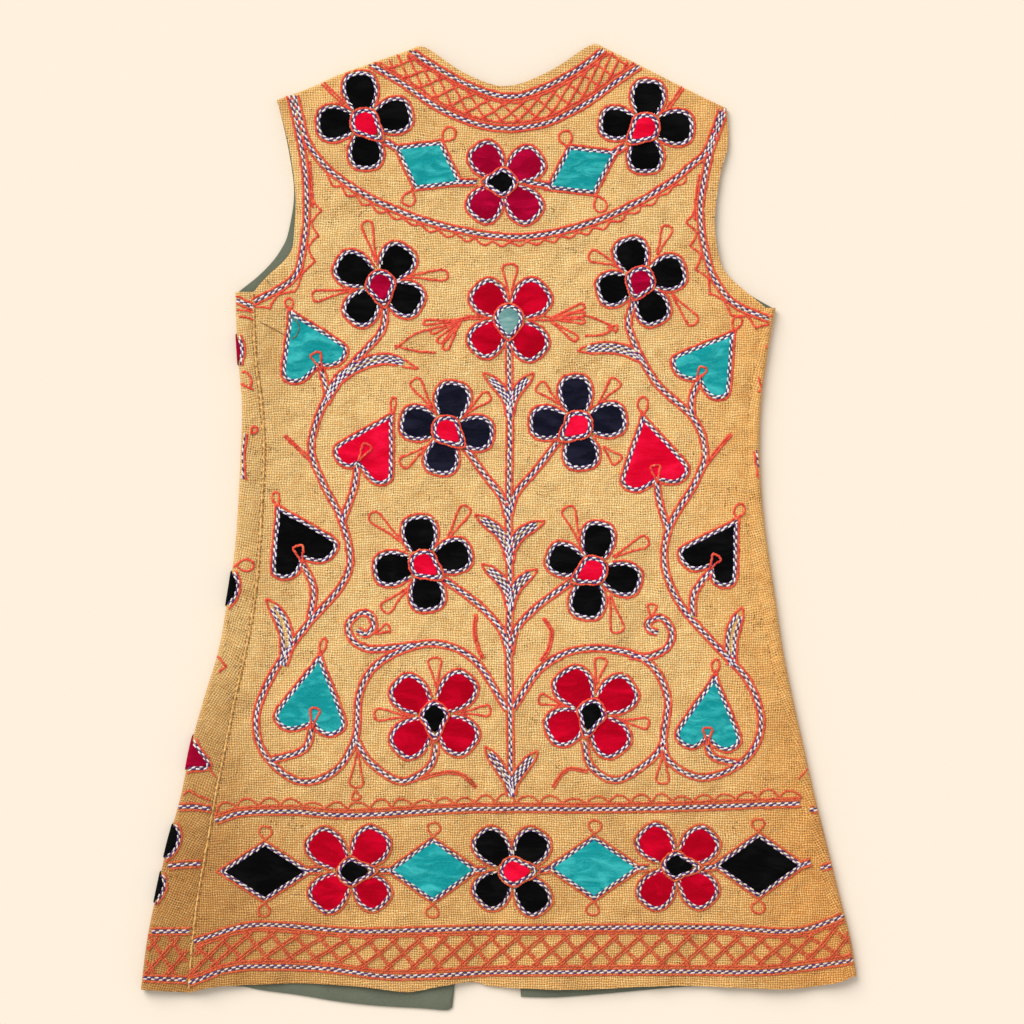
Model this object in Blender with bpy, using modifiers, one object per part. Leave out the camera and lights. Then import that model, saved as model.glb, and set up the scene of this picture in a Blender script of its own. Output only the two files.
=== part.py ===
"""Long sleeveless waistcoat in hessian with velvet applique, laid flat on its two fronts.

The back faces up. Each front lies on the surface, turns round a soft side fold and comes up as a
strip to the side seam, so the fronts carry the back. X runs to the right of the view from above,
Y towards the neck and +Z up. Plan sizes are in mm from the middle of the laid garment; the surface
is z = 0.
"""
import math

import bpy
import bmesh
from mathutils import Vector

MM = 0.001

# Cloth, in mm
HESSIAN = 1.5
LINING = 1.0
VELVET = 1.0
GAP = 0.3
LINING_INSET = 2.0

# Heights of the laid layers, in mm above the surface
LAID_HEIGHT = 6.0
SHOULDER_HEIGHT = 5.0
SHOULDER_EASE = 60.0
FOLD_RADIUS = 4.0
FOLD_EASE = 22.0
UNDERARM_EASE = 45.0
LINING_HEIGHT = HESSIAN + GAP

# Shoulder seam: each edge turns through a quarter round and ends in a short upright lip
TURN_RADIUS = 1.95
TURN_LIP = 0.4
TURN_STEPS = 3
SHOULDER_SLANT = 1.08

# Grid divisions
ROWS_BELOW_ARM = 22
ROWS_ABOVE_ARM = 9
SHOULDER_COLUMNS = 7
NECK_COLUMNS = 10
FOLD_STEPS = 6
STRIP_COLUMNS = 2
FLOOR_SHARES = (0.0, 0.03, 0.08, 0.2, 0.4, 0.6, 0.8, 1.0)

# Side outlines, a row for each height up the garment
SIDE_COLUMNS = ("height", "left_fold", "left_seam", "right_seam", "right_fold")
SIDE_ROWS = (
    (-380, -294, -254, 284, 295),
    (-340, -289, -251, 279, 289),
    (-300, -281, -246, 268, 279),
    (-260, -272, -239, 258, 269),
    (-220, -261, -232, 251, 259),
    (-180, -253, -224, 243, 250),
    (-140, -242, -216, 231, 241),
    (-100, -230, -207, 221, 233),
    (-60, -223, -200, 214, 227),
    (-20, -217, -196, 206, 221),
    (20, -214, -194, 204, 216),
    (60, -212, -192, 204, 214),
    (100, -211, -194, 205, 215),
    (140, -214, -199, 211, 220),
    (180, -216, -201, 219, 227),
    (220, -216, -202, 229, 235),
)

# Hem and underarm heights where the fold and the side seam end
END_HEIGHTS = {
    "left_fold": (-379, 193), "left_seam": (-381.5, 193),
    "right_fold": (-368, 180), "right_seam": (-371.5, 180),
}

# Edges of the back, from left to right or from the underarm up
BACK_HEM = ((-254, -381.5), (-238, -377.5), (-219, -376), (-161, -374), (-108, -377), (-75, -381),
            (-46, -376), (-20, -373), (-2, -377), (64, -379), (143, -376), (233, -378.5),
            (271, -374.5), (284, -371.5))
BACK_ARMHOLE = {
    "left": ((-190, 206), (-177, 218), (-170, 228), (-168, 242), (-167, 273), (-172, 311),
             (-182, 351)),
    "right": ((196, 199), (187, 208), (181, 220), (177, 250), (181, 287), (188, 315), (187, 344)),
}
SHOULDER = {
    "left": ((-182, 351), (-155, 361), (-128, 373), (-85, 388), (-66, 395)),
    "right": ((187, 344), (166, 354), (134, 370), (107, 384), (80, 397)),
}
BACK_NECK = ((-66, 395), (-57, 392), (-27, 372), (6, 362), (41, 374), (70, 393), (80, 397))

# Edges of the fronts, which lie under the back: the hem runs from the front edge to the side fold
FRONT_HEM = {
    "left": ((-38.5, -394.5), (-44, -396.5), (-63, -395), (-99, -393), (-135, -389), (-165, -384),
             (-196, -380), (-213, -377), (-254, -378), (-290, -379)),
    "right": ((18, -385.5), (22, -386.5), (87, -383), (143, -378), (190, -375.5), (239, -374),
              (289, -368)),
}
FRONT_EDGE = {
    "left": ((-38.5, -394.5), (-37, -388), (-19, -224), (-13, -78), (-5, 60), (-1, 150)),
    "right": ((18, -385.5), (17, -380), (11, -224), (7, -78), (5, 60), (3, 150)),
}
FRONT_NECK = {
    "left": ((-1, 150), (-18, 200), (-38, 270), (-56, 350), (-66, 395)),
    "right": ((3, 150), (22, 200), (44, 270), (66, 350), (80, 397)),
}
FRONT_ARMHOLE = {
    "left": ((-206, 198), (-196, 206), (-185, 217), (-177, 228), (-171, 242), (-168, 273),
             (-173, 311), (-182, 351)),
    "right": ((204, 191), (192, 200), (183, 210), (178, 222), (174.5, 250), (179, 287),
              (186, 315), (187, 344)),
}

# Largest soft folds of the back: from, to, half width, rise (a minus is a trough) and end fade
CREASE_COLUMNS = ("x0", "y0", "x1", "y1", "half_width", "rise", "fade")
CREASES = (
    (-10, -440, -6, -230, 32, -2.4, 60),
    (-15, -270, -12, -50, 20, -1.2, 60),
    (-4, 40, -2, 165, 22, -1.0, 40),
    (-178, 185, -171, 128, 20, -1.1, 30),
    (190, 186, 187, 138, 20, -1.1, 25),
    (-246, -430, -236, -270, 22, 1.3, 60),
    (-204, -430, -200, -290, 24, -1.0, 60),
    (-98, -430, -106, -280, 45, 1.4, 80),
    (-160, -430, -165, -300, 36, -0.9, 60),
    (64, -430, 58, -290, 48, 1.2, 80),
    (160, -430, 156, -280, 40, -0.9, 70),
    (232, -430, 216, -270, 34, 1.5, 80),
    (-196, -120, -186, 40, 30, 0.9, 60),
    (186, -150, 172, 30, 32, 0.9, 60),
)

# Velvet flowers: centre, turn in degrees, distance of the petals from the centre, colours
FLOWER_COLUMNS = ("name", "x", "y", "turn", "reach", "petals", "centre")
FLOWERS = (
    ("yoke_flower_left", -110, 332, 8, 25.0, "black", "red"),
    ("yoke_flower_middle", 2, 282, 43, 22.0, "crimson", "black"),
    ("yoke_flower_right", 120, 328, -2, 25.0, "black", "red"),
    ("shoulder_flower_left", -97, 199, 57, 24.5, "black", "crimson"),
    ("shoulder_flower_right", 116, 202, 20, 24.0, "black", "crimson"),
    ("chest_flower", 8, 171, 44, 23.5, "red", "teal"),
    ("waist_flower_left", -43, 80, -8, 25.5, "navy", "red"),
    ("waist_flower_right", 65, 84, 3, 25.0, "navy", "red"),
    ("hip_flower_left", -62, -30, 10, 25.5, "black", "red"),
    ("hip_flower_right", 77, -35, -14, 26.0, "black", "red"),
    ("skirt_flower_left", -53, -154, 46, 27.5, "red", "black"),
    ("skirt_flower_right", 76, -152, 30, 26.5, "red", "black"),
    ("hem_flower_left", -121, -282, 47, 26.5, "red", "black"),
    ("hem_flower_middle", 12, -282, 44, 27.5, "black", "red"),
    ("hem_flower_right", 145, -277, 45, 28.0, "red", "black"),
)
PETAL_LENGTH = 0.54
PETAL_WIDTH = 0.55
FLOWER_CORE = 0.48
FLOWER_CENTRE = 7.5
POINTS_PER_PETAL = 9

# Velvet hearts: tip, direction from the tip to the notch in degrees, length, width
HEART_COLUMNS = ("name", "x", "y", "turn", "length", "width", "colour")
HEARTS = (
    ("shoulder_heart_left", -170, 178, -60, 49, 46, "turquoise"),
    ("shoulder_heart_right", 191, 159, 232, 46, 47, "turquoise"),
    ("waist_heart_left", -87, 92, 236, 51, 48, "red"),
    ("waist_heart_right", 118, 90, 285, 50, 47, "red"),
    ("hip_heart_left", -182, 15, 303, 50, 48, "black"),
    ("hip_heart_right", 193, 5, 237, 48, 47, "black"),
    ("skirt_heart_left", -148, -105, 262, 55, 53, "turquoise"),
    ("skirt_heart_right", 176, -123, 263, 49, 48, "turquoise"),
)
# Half a heart from its tip to its notch, in shares of its length and of its half width
HALF_HEART = ((0.0, 0.0), (0.22, 0.38), (0.5, 0.8), (0.74, 1.0), (0.93, 0.86), (1.0, 0.5),
              (0.96, 0.18), (0.86, 0.0))

# Velvet diamonds: centre, half diagonals and turn in degrees
DIAMOND_COLUMNS = ("name", "x", "y", "half_width", "half_height", "turn", "colour")
DIAMONDS = (
    ("yoke_diamond_left", -58, 297, 28, 20, -29, "turquoise"),
    ("yoke_diamond_right", 68, 293, 29, 20, 28, "turquoise"),
    ("hem_diamond_1", -192, -282, 34, 22, 0, "black"),
    ("hem_diamond_2", -54, -281, 34, 24, 0, "turquoise"),
    ("hem_diamond_3", 78, -279, 35, 24, 0, "turquoise"),
    ("hem_diamond_4", 213, -277, 34, 24, 0, "black"),
)

# Velvet on the left front that shows on its side strip: a petal's centre and half sizes
FRONT_PETAL_COLUMNS = ("name", "x", "y", "half_width", "half_height", "colour")
FRONT_PETALS = (
    ("front_petal_top", -224.5, 146, 13.5, 13.5, "crimson"),
    ("front_petal_middle", -229, -50, 14, 16, "black"),
    ("front_petal_hem_upper", -278, -257, 14, 14, "black"),
    ("front_petal_hem_lower", -289.5, -294, 14, 14, "black"),
)
FRONT_HEART = {"name": "front_heart", "x": -238, "y": -194, "turn": 153, "length": 50, "width": 48,
               "colour": "dark_red"}
# The velvet of the fronts stops this high above the surface, clear of it
FRONT_VELVET_FOOT = 1.5

# Finish: red, green, blue, roughness
FINISH = {
    "hessian": (0.760, 0.422, 0.156, 0.95),
    "lining": (0.150, 0.200, 0.138, 0.90),
    "black": (0.004, 0.004, 0.004, 0.80),
    "navy": (0.007, 0.007, 0.018, 0.80),
    "red": (0.610, 0.004, 0.035, 0.80),
    "dark_red": (0.260, 0.003, 0.030, 0.80),
    "crimson": (0.360, 0.003, 0.045, 0.80),
    "turquoise": (0.007, 0.400, 0.430, 0.80),
    "teal": (0.115, 0.300, 0.300, 0.80),
}


def clear_scene():
    for obj in list(bpy.data.objects):
        bpy.data.objects.remove(obj, do_unlink=True)


def new_collection(name):
    collection = bpy.data.collections.new(name)
    bpy.context.scene.collection.children.link(collection)
    return collection


def rows_as_dicts(columns, rows):
    return [dict(zip(columns, row)) for row in rows]


def make_materials():
    materials = {}
    for name, (red, green, blue, roughness) in FINISH.items():
        material = bpy.data.materials.new(name)
        material.use_nodes = True
        shader = material.node_tree.nodes["Principled BSDF"]
        shader.inputs["Base Color"].default_value = (red, green, blue, 1.0)
        shader.inputs["Roughness"].default_value = roughness
        shader.inputs["Metallic"].default_value = 0.0
        materials[name] = material
    return materials


# Curves in plan

def even(steps):
    return [k / steps for k in range(steps + 1)]


def spline(a, b, c, d, t):
    """Point between b and c of the smooth curve that passes a, b, c and d."""
    return 0.5 * (2 * b + (c - a) * t + (2 * a - 5 * b + 4 * c - d) * t ** 2
                  + (3 * b - a - 3 * c + d) * t ** 3)


def smooth(points, shares):
    """Points at the given shares of the length of a smooth curve through the points."""
    knots = [Vector(point) for point in points]
    knots = [2 * knots[0] - knots[1]] + knots + [2 * knots[-1] - knots[-2]]
    fine = [knots[1]]
    for a, b, c, d in zip(knots, knots[1:], knots[2:], knots[3:]):
        fine.extend(spline(a, b, c, d, t) for t in even(10)[1:])
    lengths = [0.0]
    for start, end in zip(fine, fine[1:]):
        lengths.append(lengths[-1] + (end - start).length)
    found = []
    k = 0
    for share in shares:
        aim = share * lengths[-1]
        while k < len(fine) - 2 and lengths[k + 1] < aim:
            k += 1
        t = (aim - lengths[k]) / (lengths[k + 1] - lengths[k])
        found.append(fine[k].lerp(fine[k + 1], t))
    return found


SIDES = {name: [row[k] for row in SIDE_ROWS] for k, name in enumerate(SIDE_COLUMNS)}


def side(name, y):
    """X of a side line at height y, smooth through its rows."""
    heights, values = SIDES["height"], SIDES[name]
    step = heights[1] - heights[0]
    k = min(max(int((y - heights[0]) // step), 0), len(heights) - 2)
    before = values[k - 1] if k > 0 else 2 * values[0] - values[1]
    after = values[k + 2] if k + 2 < len(values) else 2 * values[-1] - values[-2]
    return spline(before, values[k], values[k + 1], after, (y - heights[k]) / step)


def side_line(name, offset):
    """Plan points of a side line from the hem up to the underarm, moved sideways by offset."""
    low, high = END_HEIGHTS[name]
    heights = [low + (high - low) * share for share in even(ROWS_BELOW_ARM)]
    return [Vector((side(name, y) + offset, y)) for y in heights]


def coons(bottom, top, left, right, shares):
    """Rows of plan points that fill four edges; shares place the columns."""
    grid = []
    for j, v in enumerate(even(len(left) - 1)):
        row = []
        for i, u in enumerate(shares):
            across = left[j].lerp(right[j], u)
            up = bottom[i].lerp(top[i], v)
            corners = bottom[0].lerp(bottom[-1], u).lerp(top[0].lerp(top[-1], u), v)
            row.append(across + up - corners)
        grid.append(row)
    return grid


# Height of the laid garment

def ramp(value, start, end):
    t = min(max((value - start) / (end - start), 0.0), 1.0)
    return t * t * (3 - 2 * t)


def crease_rise(crease, x, y):
    start = Vector((crease["x0"], crease["y0"]))
    along = Vector((crease["x1"], crease["y1"])) - start
    length = along.length
    along.normalize()
    offset = Vector((x, y)) - start
    place = offset.dot(along)
    across = abs(offset.cross(along)) / crease["half_width"]
    if across >= 1.0:
        return 0.0
    ends = ramp(place, 0, crease["fade"]) * ramp(length - place, 0, crease["fade"])
    return crease["rise"] * ends * 0.5 * (1 + math.cos(math.pi * across))


def segment_distance(x, y, start, end):
    start, end, point = Vector(start), Vector(end), Vector((x, y))
    along = end - start
    t = min(max((point - start).dot(along) / along.length_squared, 0.0), 1.0)
    return (point - start - along * t).length


CREASE_LIST = rows_as_dicts(CREASE_COLUMNS, CREASES)


def height(x, y):
    """Height of the upper face of the back and of the side strips."""
    fold_height = 2 * FOLD_RADIUS
    rise = 0.0
    inside = 1.0
    for name, sign in (("left_fold", 1), ("right_fold", -1)):
        depth = max(0.0, sign * (x - side(name, min(y, 220))) - FOLD_RADIUS)
        below_arm = 1 - ramp(y, END_HEIGHTS[name][1], END_HEIGHTS[name][1] + UNDERARM_EASE)
        near = math.exp(-(depth / FOLD_EASE) ** 2) * below_arm
        rise += (fold_height - LAID_HEIGHT) * near
        inside *= 1 - near
    rise += inside * sum(crease_rise(crease, x, y) for crease in CREASE_LIST)
    from_shoulder = min(segment_distance(x, y, line[0], line[-1]) for line in SHOULDER.values())
    rise -= (LAID_HEIGHT - SHOULDER_HEIGHT) * (1 - ramp(from_shoulder, 3, SHOULDER_EASE))
    return LAID_HEIGHT + rise


# Surfaces

def surface_mesh(name, rows, downwards=False):
    """Open triangle mesh through rows of points in mm."""
    count_across, count_up = len(rows[0]) - 1, len(rows) - 1
    bm = bmesh.new()
    bmesh.ops.create_grid(bm, x_segments=count_across, y_segments=count_up, size=1.0)
    for vert in bm.verts:
        i = round((vert.co.x + 1) / 2 * count_across)
        j = round((vert.co.y + 1) / 2 * count_up)
        vert.co = Vector(rows[j][i]) * MM
    bmesh.ops.triangulate(bm, faces=bm.faces[:], quad_method="SHORT_EDGE")
    if downwards:
        bmesh.ops.reverse_faces(bm, faces=bm.faces[:])
    mesh = bpy.data.meshes.new(name)
    bm.to_mesh(mesh)
    bm.free()
    return mesh


def weld_meshes(name, meshes):
    """One mesh of several that share an edge."""
    bm = bmesh.new()
    for mesh in meshes:
        bm.from_mesh(mesh)
    bmesh.ops.remove_doubles(bm, verts=bm.verts[:], dist=0.00001)
    mesh = bpy.data.meshes.new(name)
    bm.to_mesh(mesh)
    bm.free()
    return mesh


def turned_rows(top, foot_height, direction, turned):
    """Rows of a shoulder edge that turns up (1) or down (-1); an unturned column stays flat."""
    rolled = TURN_RADIUS * math.pi / 2 + TURN_LIP
    angles = [math.pi / 2 * share for share in even(TURN_STEPS)]
    steps = [(TURN_RADIUS * (1 - math.sin(a)), TURN_RADIUS * (1 - math.cos(a)), TURN_RADIUS * a)
             for a in angles]
    steps.append((0.0, TURN_RADIUS + TURN_LIP, rolled))
    rows = []
    for depth, climb, travel in steps:
        row = []
        for point, is_turned in zip(top, turned):
            inward = depth if is_turned else rolled - travel
            y = point.y - inward * SHOULDER_SLANT
            z = foot_height(point.x, y) + (direction * climb if is_turned else 0.0)
            row.append((point.x, y, z))
        rows.append(row)
    return rows


def back_rows():
    """Points of the upper face of the back."""
    shoulder_shares = even(SHOULDER_COLUMNS)
    left_shoulder = smooth(SHOULDER["left"], shoulder_shares)
    right_shoulder = smooth(SHOULDER["right"], shoulder_shares)[::-1]
    neck = smooth(BACK_NECK, even(NECK_COLUMNS))
    top = left_shoulder + neck[1:-1] + right_shoulder
    turned = [True] * len(left_shoulder) + [False] * (NECK_COLUMNS - 1) + [True] * len(right_shoulder)
    shares = even(len(top) - 1)
    bottom = smooth(BACK_HEM, shares)
    edges = []
    for hand, offset in (("left", GAP / 2), ("right", -GAP / 2)):
        seam = side_line(hand + "_seam", offset)
        armhole = smooth((seam[-1],) + BACK_ARMHOLE[hand], even(ROWS_ABOVE_ARM))
        edges.append(seam + armhole[1:])
    plan = coons(bottom, top, edges[0], edges[1], shares)
    rows = [[(p.x, p.y, height(p.x, p.y)) for p in row] for row in plan[:-1]]
    return rows + turned_rows(top, height, -1, turned)


def floor_rows(hand):
    """Points of the lower face of a front where it lies on the surface."""
    bottom = smooth(FRONT_HEM[hand], FLOOR_SHARES)
    top = smooth(SHOULDER[hand][::-1], FLOOR_SHARES)
    edge = smooth(FRONT_EDGE[hand], even(ROWS_BELOW_ARM))
    neck = smooth(FRONT_NECK[hand], even(ROWS_ABOVE_ARM))
    inwards = FOLD_RADIUS if hand == "left" else -FOLD_RADIUS
    fold = side_line(hand + "_fold", inwards)
    armhole = smooth((fold[-1],) + FRONT_ARMHOLE[hand], even(ROWS_ABOVE_ARM))
    plan = coons(bottom, top, edge + neck[1:], fold + armhole[1:], FLOOR_SHARES)
    rows = [[(p.x, p.y, 0.0) for p in row] for row in plan[:-1]]
    return rows + turned_rows(top, lambda x, y: 0.0, 1, [True] * len(top))


def strip_rows(hand):
    """Points of a front round its side fold and over to the side seam."""
    sign = 1 if hand == "left" else -1
    fold_line = side_line(hand + "_fold", 0.0)
    seam_line = side_line(hand + "_seam", -sign * GAP / 2)
    rows = []
    for fold, seam in zip(fold_line, seam_line):
        row = []
        for share in even(FOLD_STEPS):
            angle = math.pi * share
            x = fold.x + sign * FOLD_RADIUS * (1 - math.sin(angle))
            row.append((x, fold.y, FOLD_RADIUS * (1 - math.cos(angle))))
        start = Vector((fold.x + sign * FOLD_RADIUS, fold.y))
        for share in even(STRIP_COLUMNS)[1:]:
            point = start.lerp(seam, share)
            row.append((point.x, point.y, height(point.x, point.y)))
        rows.append(row)
    return rows


def lining_mesh(hand):
    """Flat sheet of lining on a front, set in from its edges."""
    plan = [[(x, y, LINING_HEIGHT) for x, y, z in row] for row in floor_rows(hand)[:-2]]
    flat = surface_mesh("lining_flat_" + hand, plan, downwards=hand == "left")
    bm = bmesh.new()
    bm.from_mesh(flat)
    for face in bm.faces:
        if face.normal.z < 0:
            face.normal_flip()
    bmesh.ops.dissolve_limit(bm, angle_limit=math.radians(1), verts=bm.verts[:], edges=bm.edges[:])
    rim = bmesh.ops.inset_region(bm, faces=bm.faces[:], thickness=LINING_INSET * MM,
                                 use_boundary=True, use_even_offset=True)["faces"]
    bmesh.ops.delete(bm, geom=rim, context="FACES")
    bmesh.ops.triangulate(bm, faces=bm.faces[:])
    mesh = bpy.data.meshes.new("lining_" + hand)
    bm.to_mesh(mesh)
    bm.free()
    return mesh


# Pieces

def add_object(name, mesh, collection, material=None):
    obj = bpy.data.objects.new(name, mesh)
    collection.objects.link(obj)
    if material:
        mesh.materials.append(material)
    return obj


def add_wall(obj, thickness, offset):
    """Give an open surface its thickness: offset -1 grows behind its faces, 1 in front."""
    wall = obj.modifiers.new("wall", "SOLIDIFY")
    wall.thickness = thickness * MM
    wall.offset = offset
    wall.use_even_offset = True
    wall.use_quality_normals = True


def moved_out(mesh, name, distance):
    """Copy of a surface with its points moved out along their normals."""
    bm = bmesh.new()
    bm.from_mesh(mesh)
    bm.normal_update()
    places = [vert.co + vert.normal * distance * MM for vert in bm.verts]
    for vert, place in zip(bm.verts, places):
        vert.co = place
    copy = bpy.data.meshes.new(name)
    bm.to_mesh(copy)
    bm.free()
    return copy


def add_layer(name, mesh, distance, guides):
    """Hidden layer of velvet over a whole panel, which the patches are cut from."""
    layer = add_object(name, moved_out(mesh, name, distance), guides)
    add_wall(layer, VELVET, 1.0)
    layer.hide_render = True
    layer.display_type = "WIRE"
    return layer


def add_patch(name, outline, layer, foot, collection, material):
    """Velvet cut from a layer along an outline in plan."""
    bm = bmesh.new()
    verts = [bm.verts.new((x * MM, y * MM, foot * MM)) for x, y in outline]
    face = bm.faces.new(verts)
    grown = bmesh.ops.extrude_face_region(bm, geom=[face])
    top = [item for item in grown["geom"] if isinstance(item, bmesh.types.BMVert)]
    bmesh.ops.translate(bm, verts=top, vec=(0, 0, 0.02))
    bmesh.ops.recalc_face_normals(bm, faces=bm.faces[:])
    mesh = bpy.data.meshes.new(name)
    bm.to_mesh(mesh)
    bm.free()
    patch = add_object(name, mesh, collection, material)
    cut = patch.modifiers.new("cut from cloth", "BOOLEAN")
    cut.operation = "INTERSECT"
    cut.solver = "EXACT"
    cut.object = layer
    return patch


def turned(points, x, y, degrees):
    """Points turned about their origin and moved to x, y."""
    c, s = math.cos(math.radians(degrees)), math.sin(math.radians(degrees))
    return [(x + c * u - s * v, y + s * u + c * v) for u, v in points]


def flower_outline(flower):
    """Four rounded petals round a core."""
    reach = flower["reach"]
    length, width = PETAL_LENGTH * reach, PETAL_WIDTH * reach
    points = []
    for k in range(4 * POINTS_PER_PETAL):
        angle = 2 * math.pi * (k + 0.5) / (4 * POINTS_PER_PETAL)
        off = (angle + math.pi / 4) % (math.pi / 2) - math.pi / 4
        c, s = math.cos(off), math.sin(off)
        square = (c / length) ** 2 + (s / width) ** 2
        slope = reach * c / length ** 2
        inner = slope ** 2 - square * ((reach / length) ** 2 - 1)
        radius = (slope + math.sqrt(inner)) / square if inner > 0 else 0.0
        radius = max(radius, FLOWER_CORE * reach)
        points.append((radius * math.cos(angle), radius * math.sin(angle)))
    return turned(points, flower["x"], flower["y"], flower["turn"])


def centre_outline(flower):
    """Small square centre with rounded corners."""
    points = []
    for k in range(12):
        angle = 2 * math.pi * k / 12
        radius = FLOWER_CENTRE / (abs(math.cos(angle)) ** 1.4 + abs(math.sin(angle)) ** 1.4) ** 0.7
        points.append((radius * math.cos(angle), radius * math.sin(angle)))
    return turned(points, flower["x"], flower["y"], flower["turn"] - 45)


def heart_outline(heart):
    half = smooth(HALF_HEART, even(11))
    right = [(p.x * heart["length"], p.y * heart["width"] / 2) for p in half]
    left = [(u, -v) for u, v in right[1:-1]]
    return turned(right + left[::-1], heart["x"], heart["y"], heart["turn"])


def diamond_outline(diamond):
    w, h = diamond["half_width"], diamond["half_height"]
    return turned([(w, 0), (0, h), (-w, 0), (0, -h)], diamond["x"], diamond["y"], diamond["turn"])


def oval_outline(petal):
    angles = [2 * math.pi * share for share in even(20)[:-1]]
    return [(petal["x"] + petal["half_width"] * math.cos(a),
             petal["y"] + petal["half_height"] * math.sin(a)) for a in angles]


def build():
    clear_scene()
    parts = new_collection("embroidered_waistcoat")
    guides = new_collection("guides")
    materials = make_materials()

    back_skin = surface_mesh("back", back_rows())
    add_wall(add_object("back", back_skin, parts, materials["hessian"]), HESSIAN, -1.0)

    strip_skins = {}
    for hand in ("left", "right"):
        floor_skin = surface_mesh("floor_" + hand, floor_rows(hand), downwards=hand == "right")
        strip_skins[hand] = surface_mesh("strip_" + hand, strip_rows(hand),
                                         downwards=hand == "right")
        front_skin = weld_meshes("front_" + hand, (floor_skin, strip_skins[hand]))
        add_wall(add_object("front_" + hand, front_skin, parts, materials["hessian"]), HESSIAN, -1.0)
        lining = add_object("lining_" + hand, lining_mesh(hand), parts, materials["lining"])
        add_wall(lining, LINING, 1.0)

    applique = add_layer("applique_layer", back_skin, GAP, guides)
    centres = add_layer("centre_layer", back_skin, GAP + VELVET + GAP, guides)
    for flower in rows_as_dicts(FLOWER_COLUMNS, FLOWERS):
        add_patch(flower["name"], flower_outline(flower), applique, 0, parts,
                  materials[flower["petals"]])
        add_patch(flower["name"] + "_centre", centre_outline(flower), centres, 0, parts,
                  materials[flower["centre"]])
    for heart in rows_as_dicts(HEART_COLUMNS, HEARTS):
        add_patch(heart["name"], heart_outline(heart), applique, 0, parts,
                  materials[heart["colour"]])
    for diamond in rows_as_dicts(DIAMOND_COLUMNS, DIAMONDS):
        add_patch(diamond["name"], diamond_outline(diamond), applique, 0, parts,
                  materials[diamond["colour"]])

    front_layer = add_layer("front_layer", strip_skins["left"], GAP, guides)
    for petal in rows_as_dicts(FRONT_PETAL_COLUMNS, FRONT_PETALS):
        add_patch(petal["name"], oval_outline(petal), front_layer, FRONT_VELVET_FOOT, parts,
                  materials[petal["colour"]])
    add_patch(FRONT_HEART["name"], heart_outline(FRONT_HEART), front_layer, FRONT_VELVET_FOOT,
              parts, materials[FRONT_HEART["colour"]])


build()
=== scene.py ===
"""Long sleeveless hessian waistcoat with velvet applique and chain stitch, laid flat, back upwards.

X runs to the right of the view from above, Y towards the neck, and the surface is z = 0. Plan sizes
are in mm from the middle of the laid garment, and meshes are in metres.
"""
import math

import bmesh
import bpy
import numpy as np
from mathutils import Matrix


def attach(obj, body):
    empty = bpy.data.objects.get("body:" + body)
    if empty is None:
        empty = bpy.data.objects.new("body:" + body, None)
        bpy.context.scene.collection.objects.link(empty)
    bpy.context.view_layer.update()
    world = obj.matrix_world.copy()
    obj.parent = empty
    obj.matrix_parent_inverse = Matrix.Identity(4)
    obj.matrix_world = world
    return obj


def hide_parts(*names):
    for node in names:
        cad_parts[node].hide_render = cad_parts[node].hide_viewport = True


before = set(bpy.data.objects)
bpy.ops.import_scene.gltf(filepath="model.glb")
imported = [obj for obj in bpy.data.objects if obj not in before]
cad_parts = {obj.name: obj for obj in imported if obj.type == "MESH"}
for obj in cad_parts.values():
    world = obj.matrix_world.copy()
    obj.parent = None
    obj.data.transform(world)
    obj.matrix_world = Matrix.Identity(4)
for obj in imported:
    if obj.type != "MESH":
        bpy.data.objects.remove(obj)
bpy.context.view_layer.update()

# Camera, floor and light
# The garment is seen from straight above, on a plain cream floor, in soft light that comes from
# the upper left and from all round.
MM = 0.001
FRAME_PIXELS = 1024
MM_PER_PIXEL = 0.822
VIEW_CENTRE = (10.7, 12.7)
CAMERA_HEIGHT = 2.4
SENSOR_WIDTH = 36.0
FLOOR_HALF = 6000.0
FLOOR_DEPTH = -0.2
FLOOR_COLOUR = (0.835, 0.738, 0.612)
ROOM_COLOUR = (1.0, 0.985, 0.965)
ROOM_LIGHT = 0.65
SUN_LIGHT = 2.87
SUN_SOFTNESS = 42
SUN_TILT = (math.radians(-41), math.radians(-38), 0.0)

scene = bpy.context.scene
scene.view_settings.view_transform = "Standard"


def linked(name, data):
    """New object in the scene."""
    made = bpy.data.objects.new(name, data)
    scene.collection.objects.link(made)
    return made


camera_data = bpy.data.cameras.new("camera")
camera_data.sensor_width = SENSOR_WIDTH
camera_data.lens = SENSOR_WIDTH * CAMERA_HEIGHT / (FRAME_PIXELS * MM_PER_PIXEL * MM)
camera = linked("camera", camera_data)
camera.location = (VIEW_CENTRE[0] * MM, VIEW_CENTRE[1] * MM, CAMERA_HEIGHT)
scene.camera = camera

sun_data = bpy.data.lights.new("soft sun", "SUN")
sun_data.energy = SUN_LIGHT
sun_data.angle = math.radians(SUN_SOFTNESS)
sun = linked("soft sun", sun_data)
sun.rotation_euler = SUN_TILT

room = bpy.data.worlds.new("room")
room.use_nodes = True
background = room.node_tree.nodes["Background"]
background.inputs["Color"].default_value = (*ROOM_COLOUR, 1.0)
background.inputs["Strength"].default_value = ROOM_LIGHT
scene.world = room


def add_node(tree, kind, inputs=(), **settings):
    """Shader node with its settings, and with its inputs linked or set."""
    node = tree.nodes.new("ShaderNode" + kind)
    for name, value in settings.items():
        setattr(node, name, value)
    for name, value in dict(inputs).items():
        if isinstance(value, bpy.types.NodeSocket):
            tree.links.new(value, node.inputs[name])
        else:
            node.inputs[name].default_value = value
    return node


def new_material(label, **finish):
    """Material with a Principled shader, whose plain values are set on the shader's own sockets."""
    material = bpy.data.materials.new(label)
    material.use_nodes = True
    shader = material.node_tree.nodes["Principled BSDF"]
    for name, value in finish.items():
        socket = name.replace("_", " ").title().replace("Ior", "IOR")
        shader.inputs[socket].default_value = value
    return material, material.node_tree, shader


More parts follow.
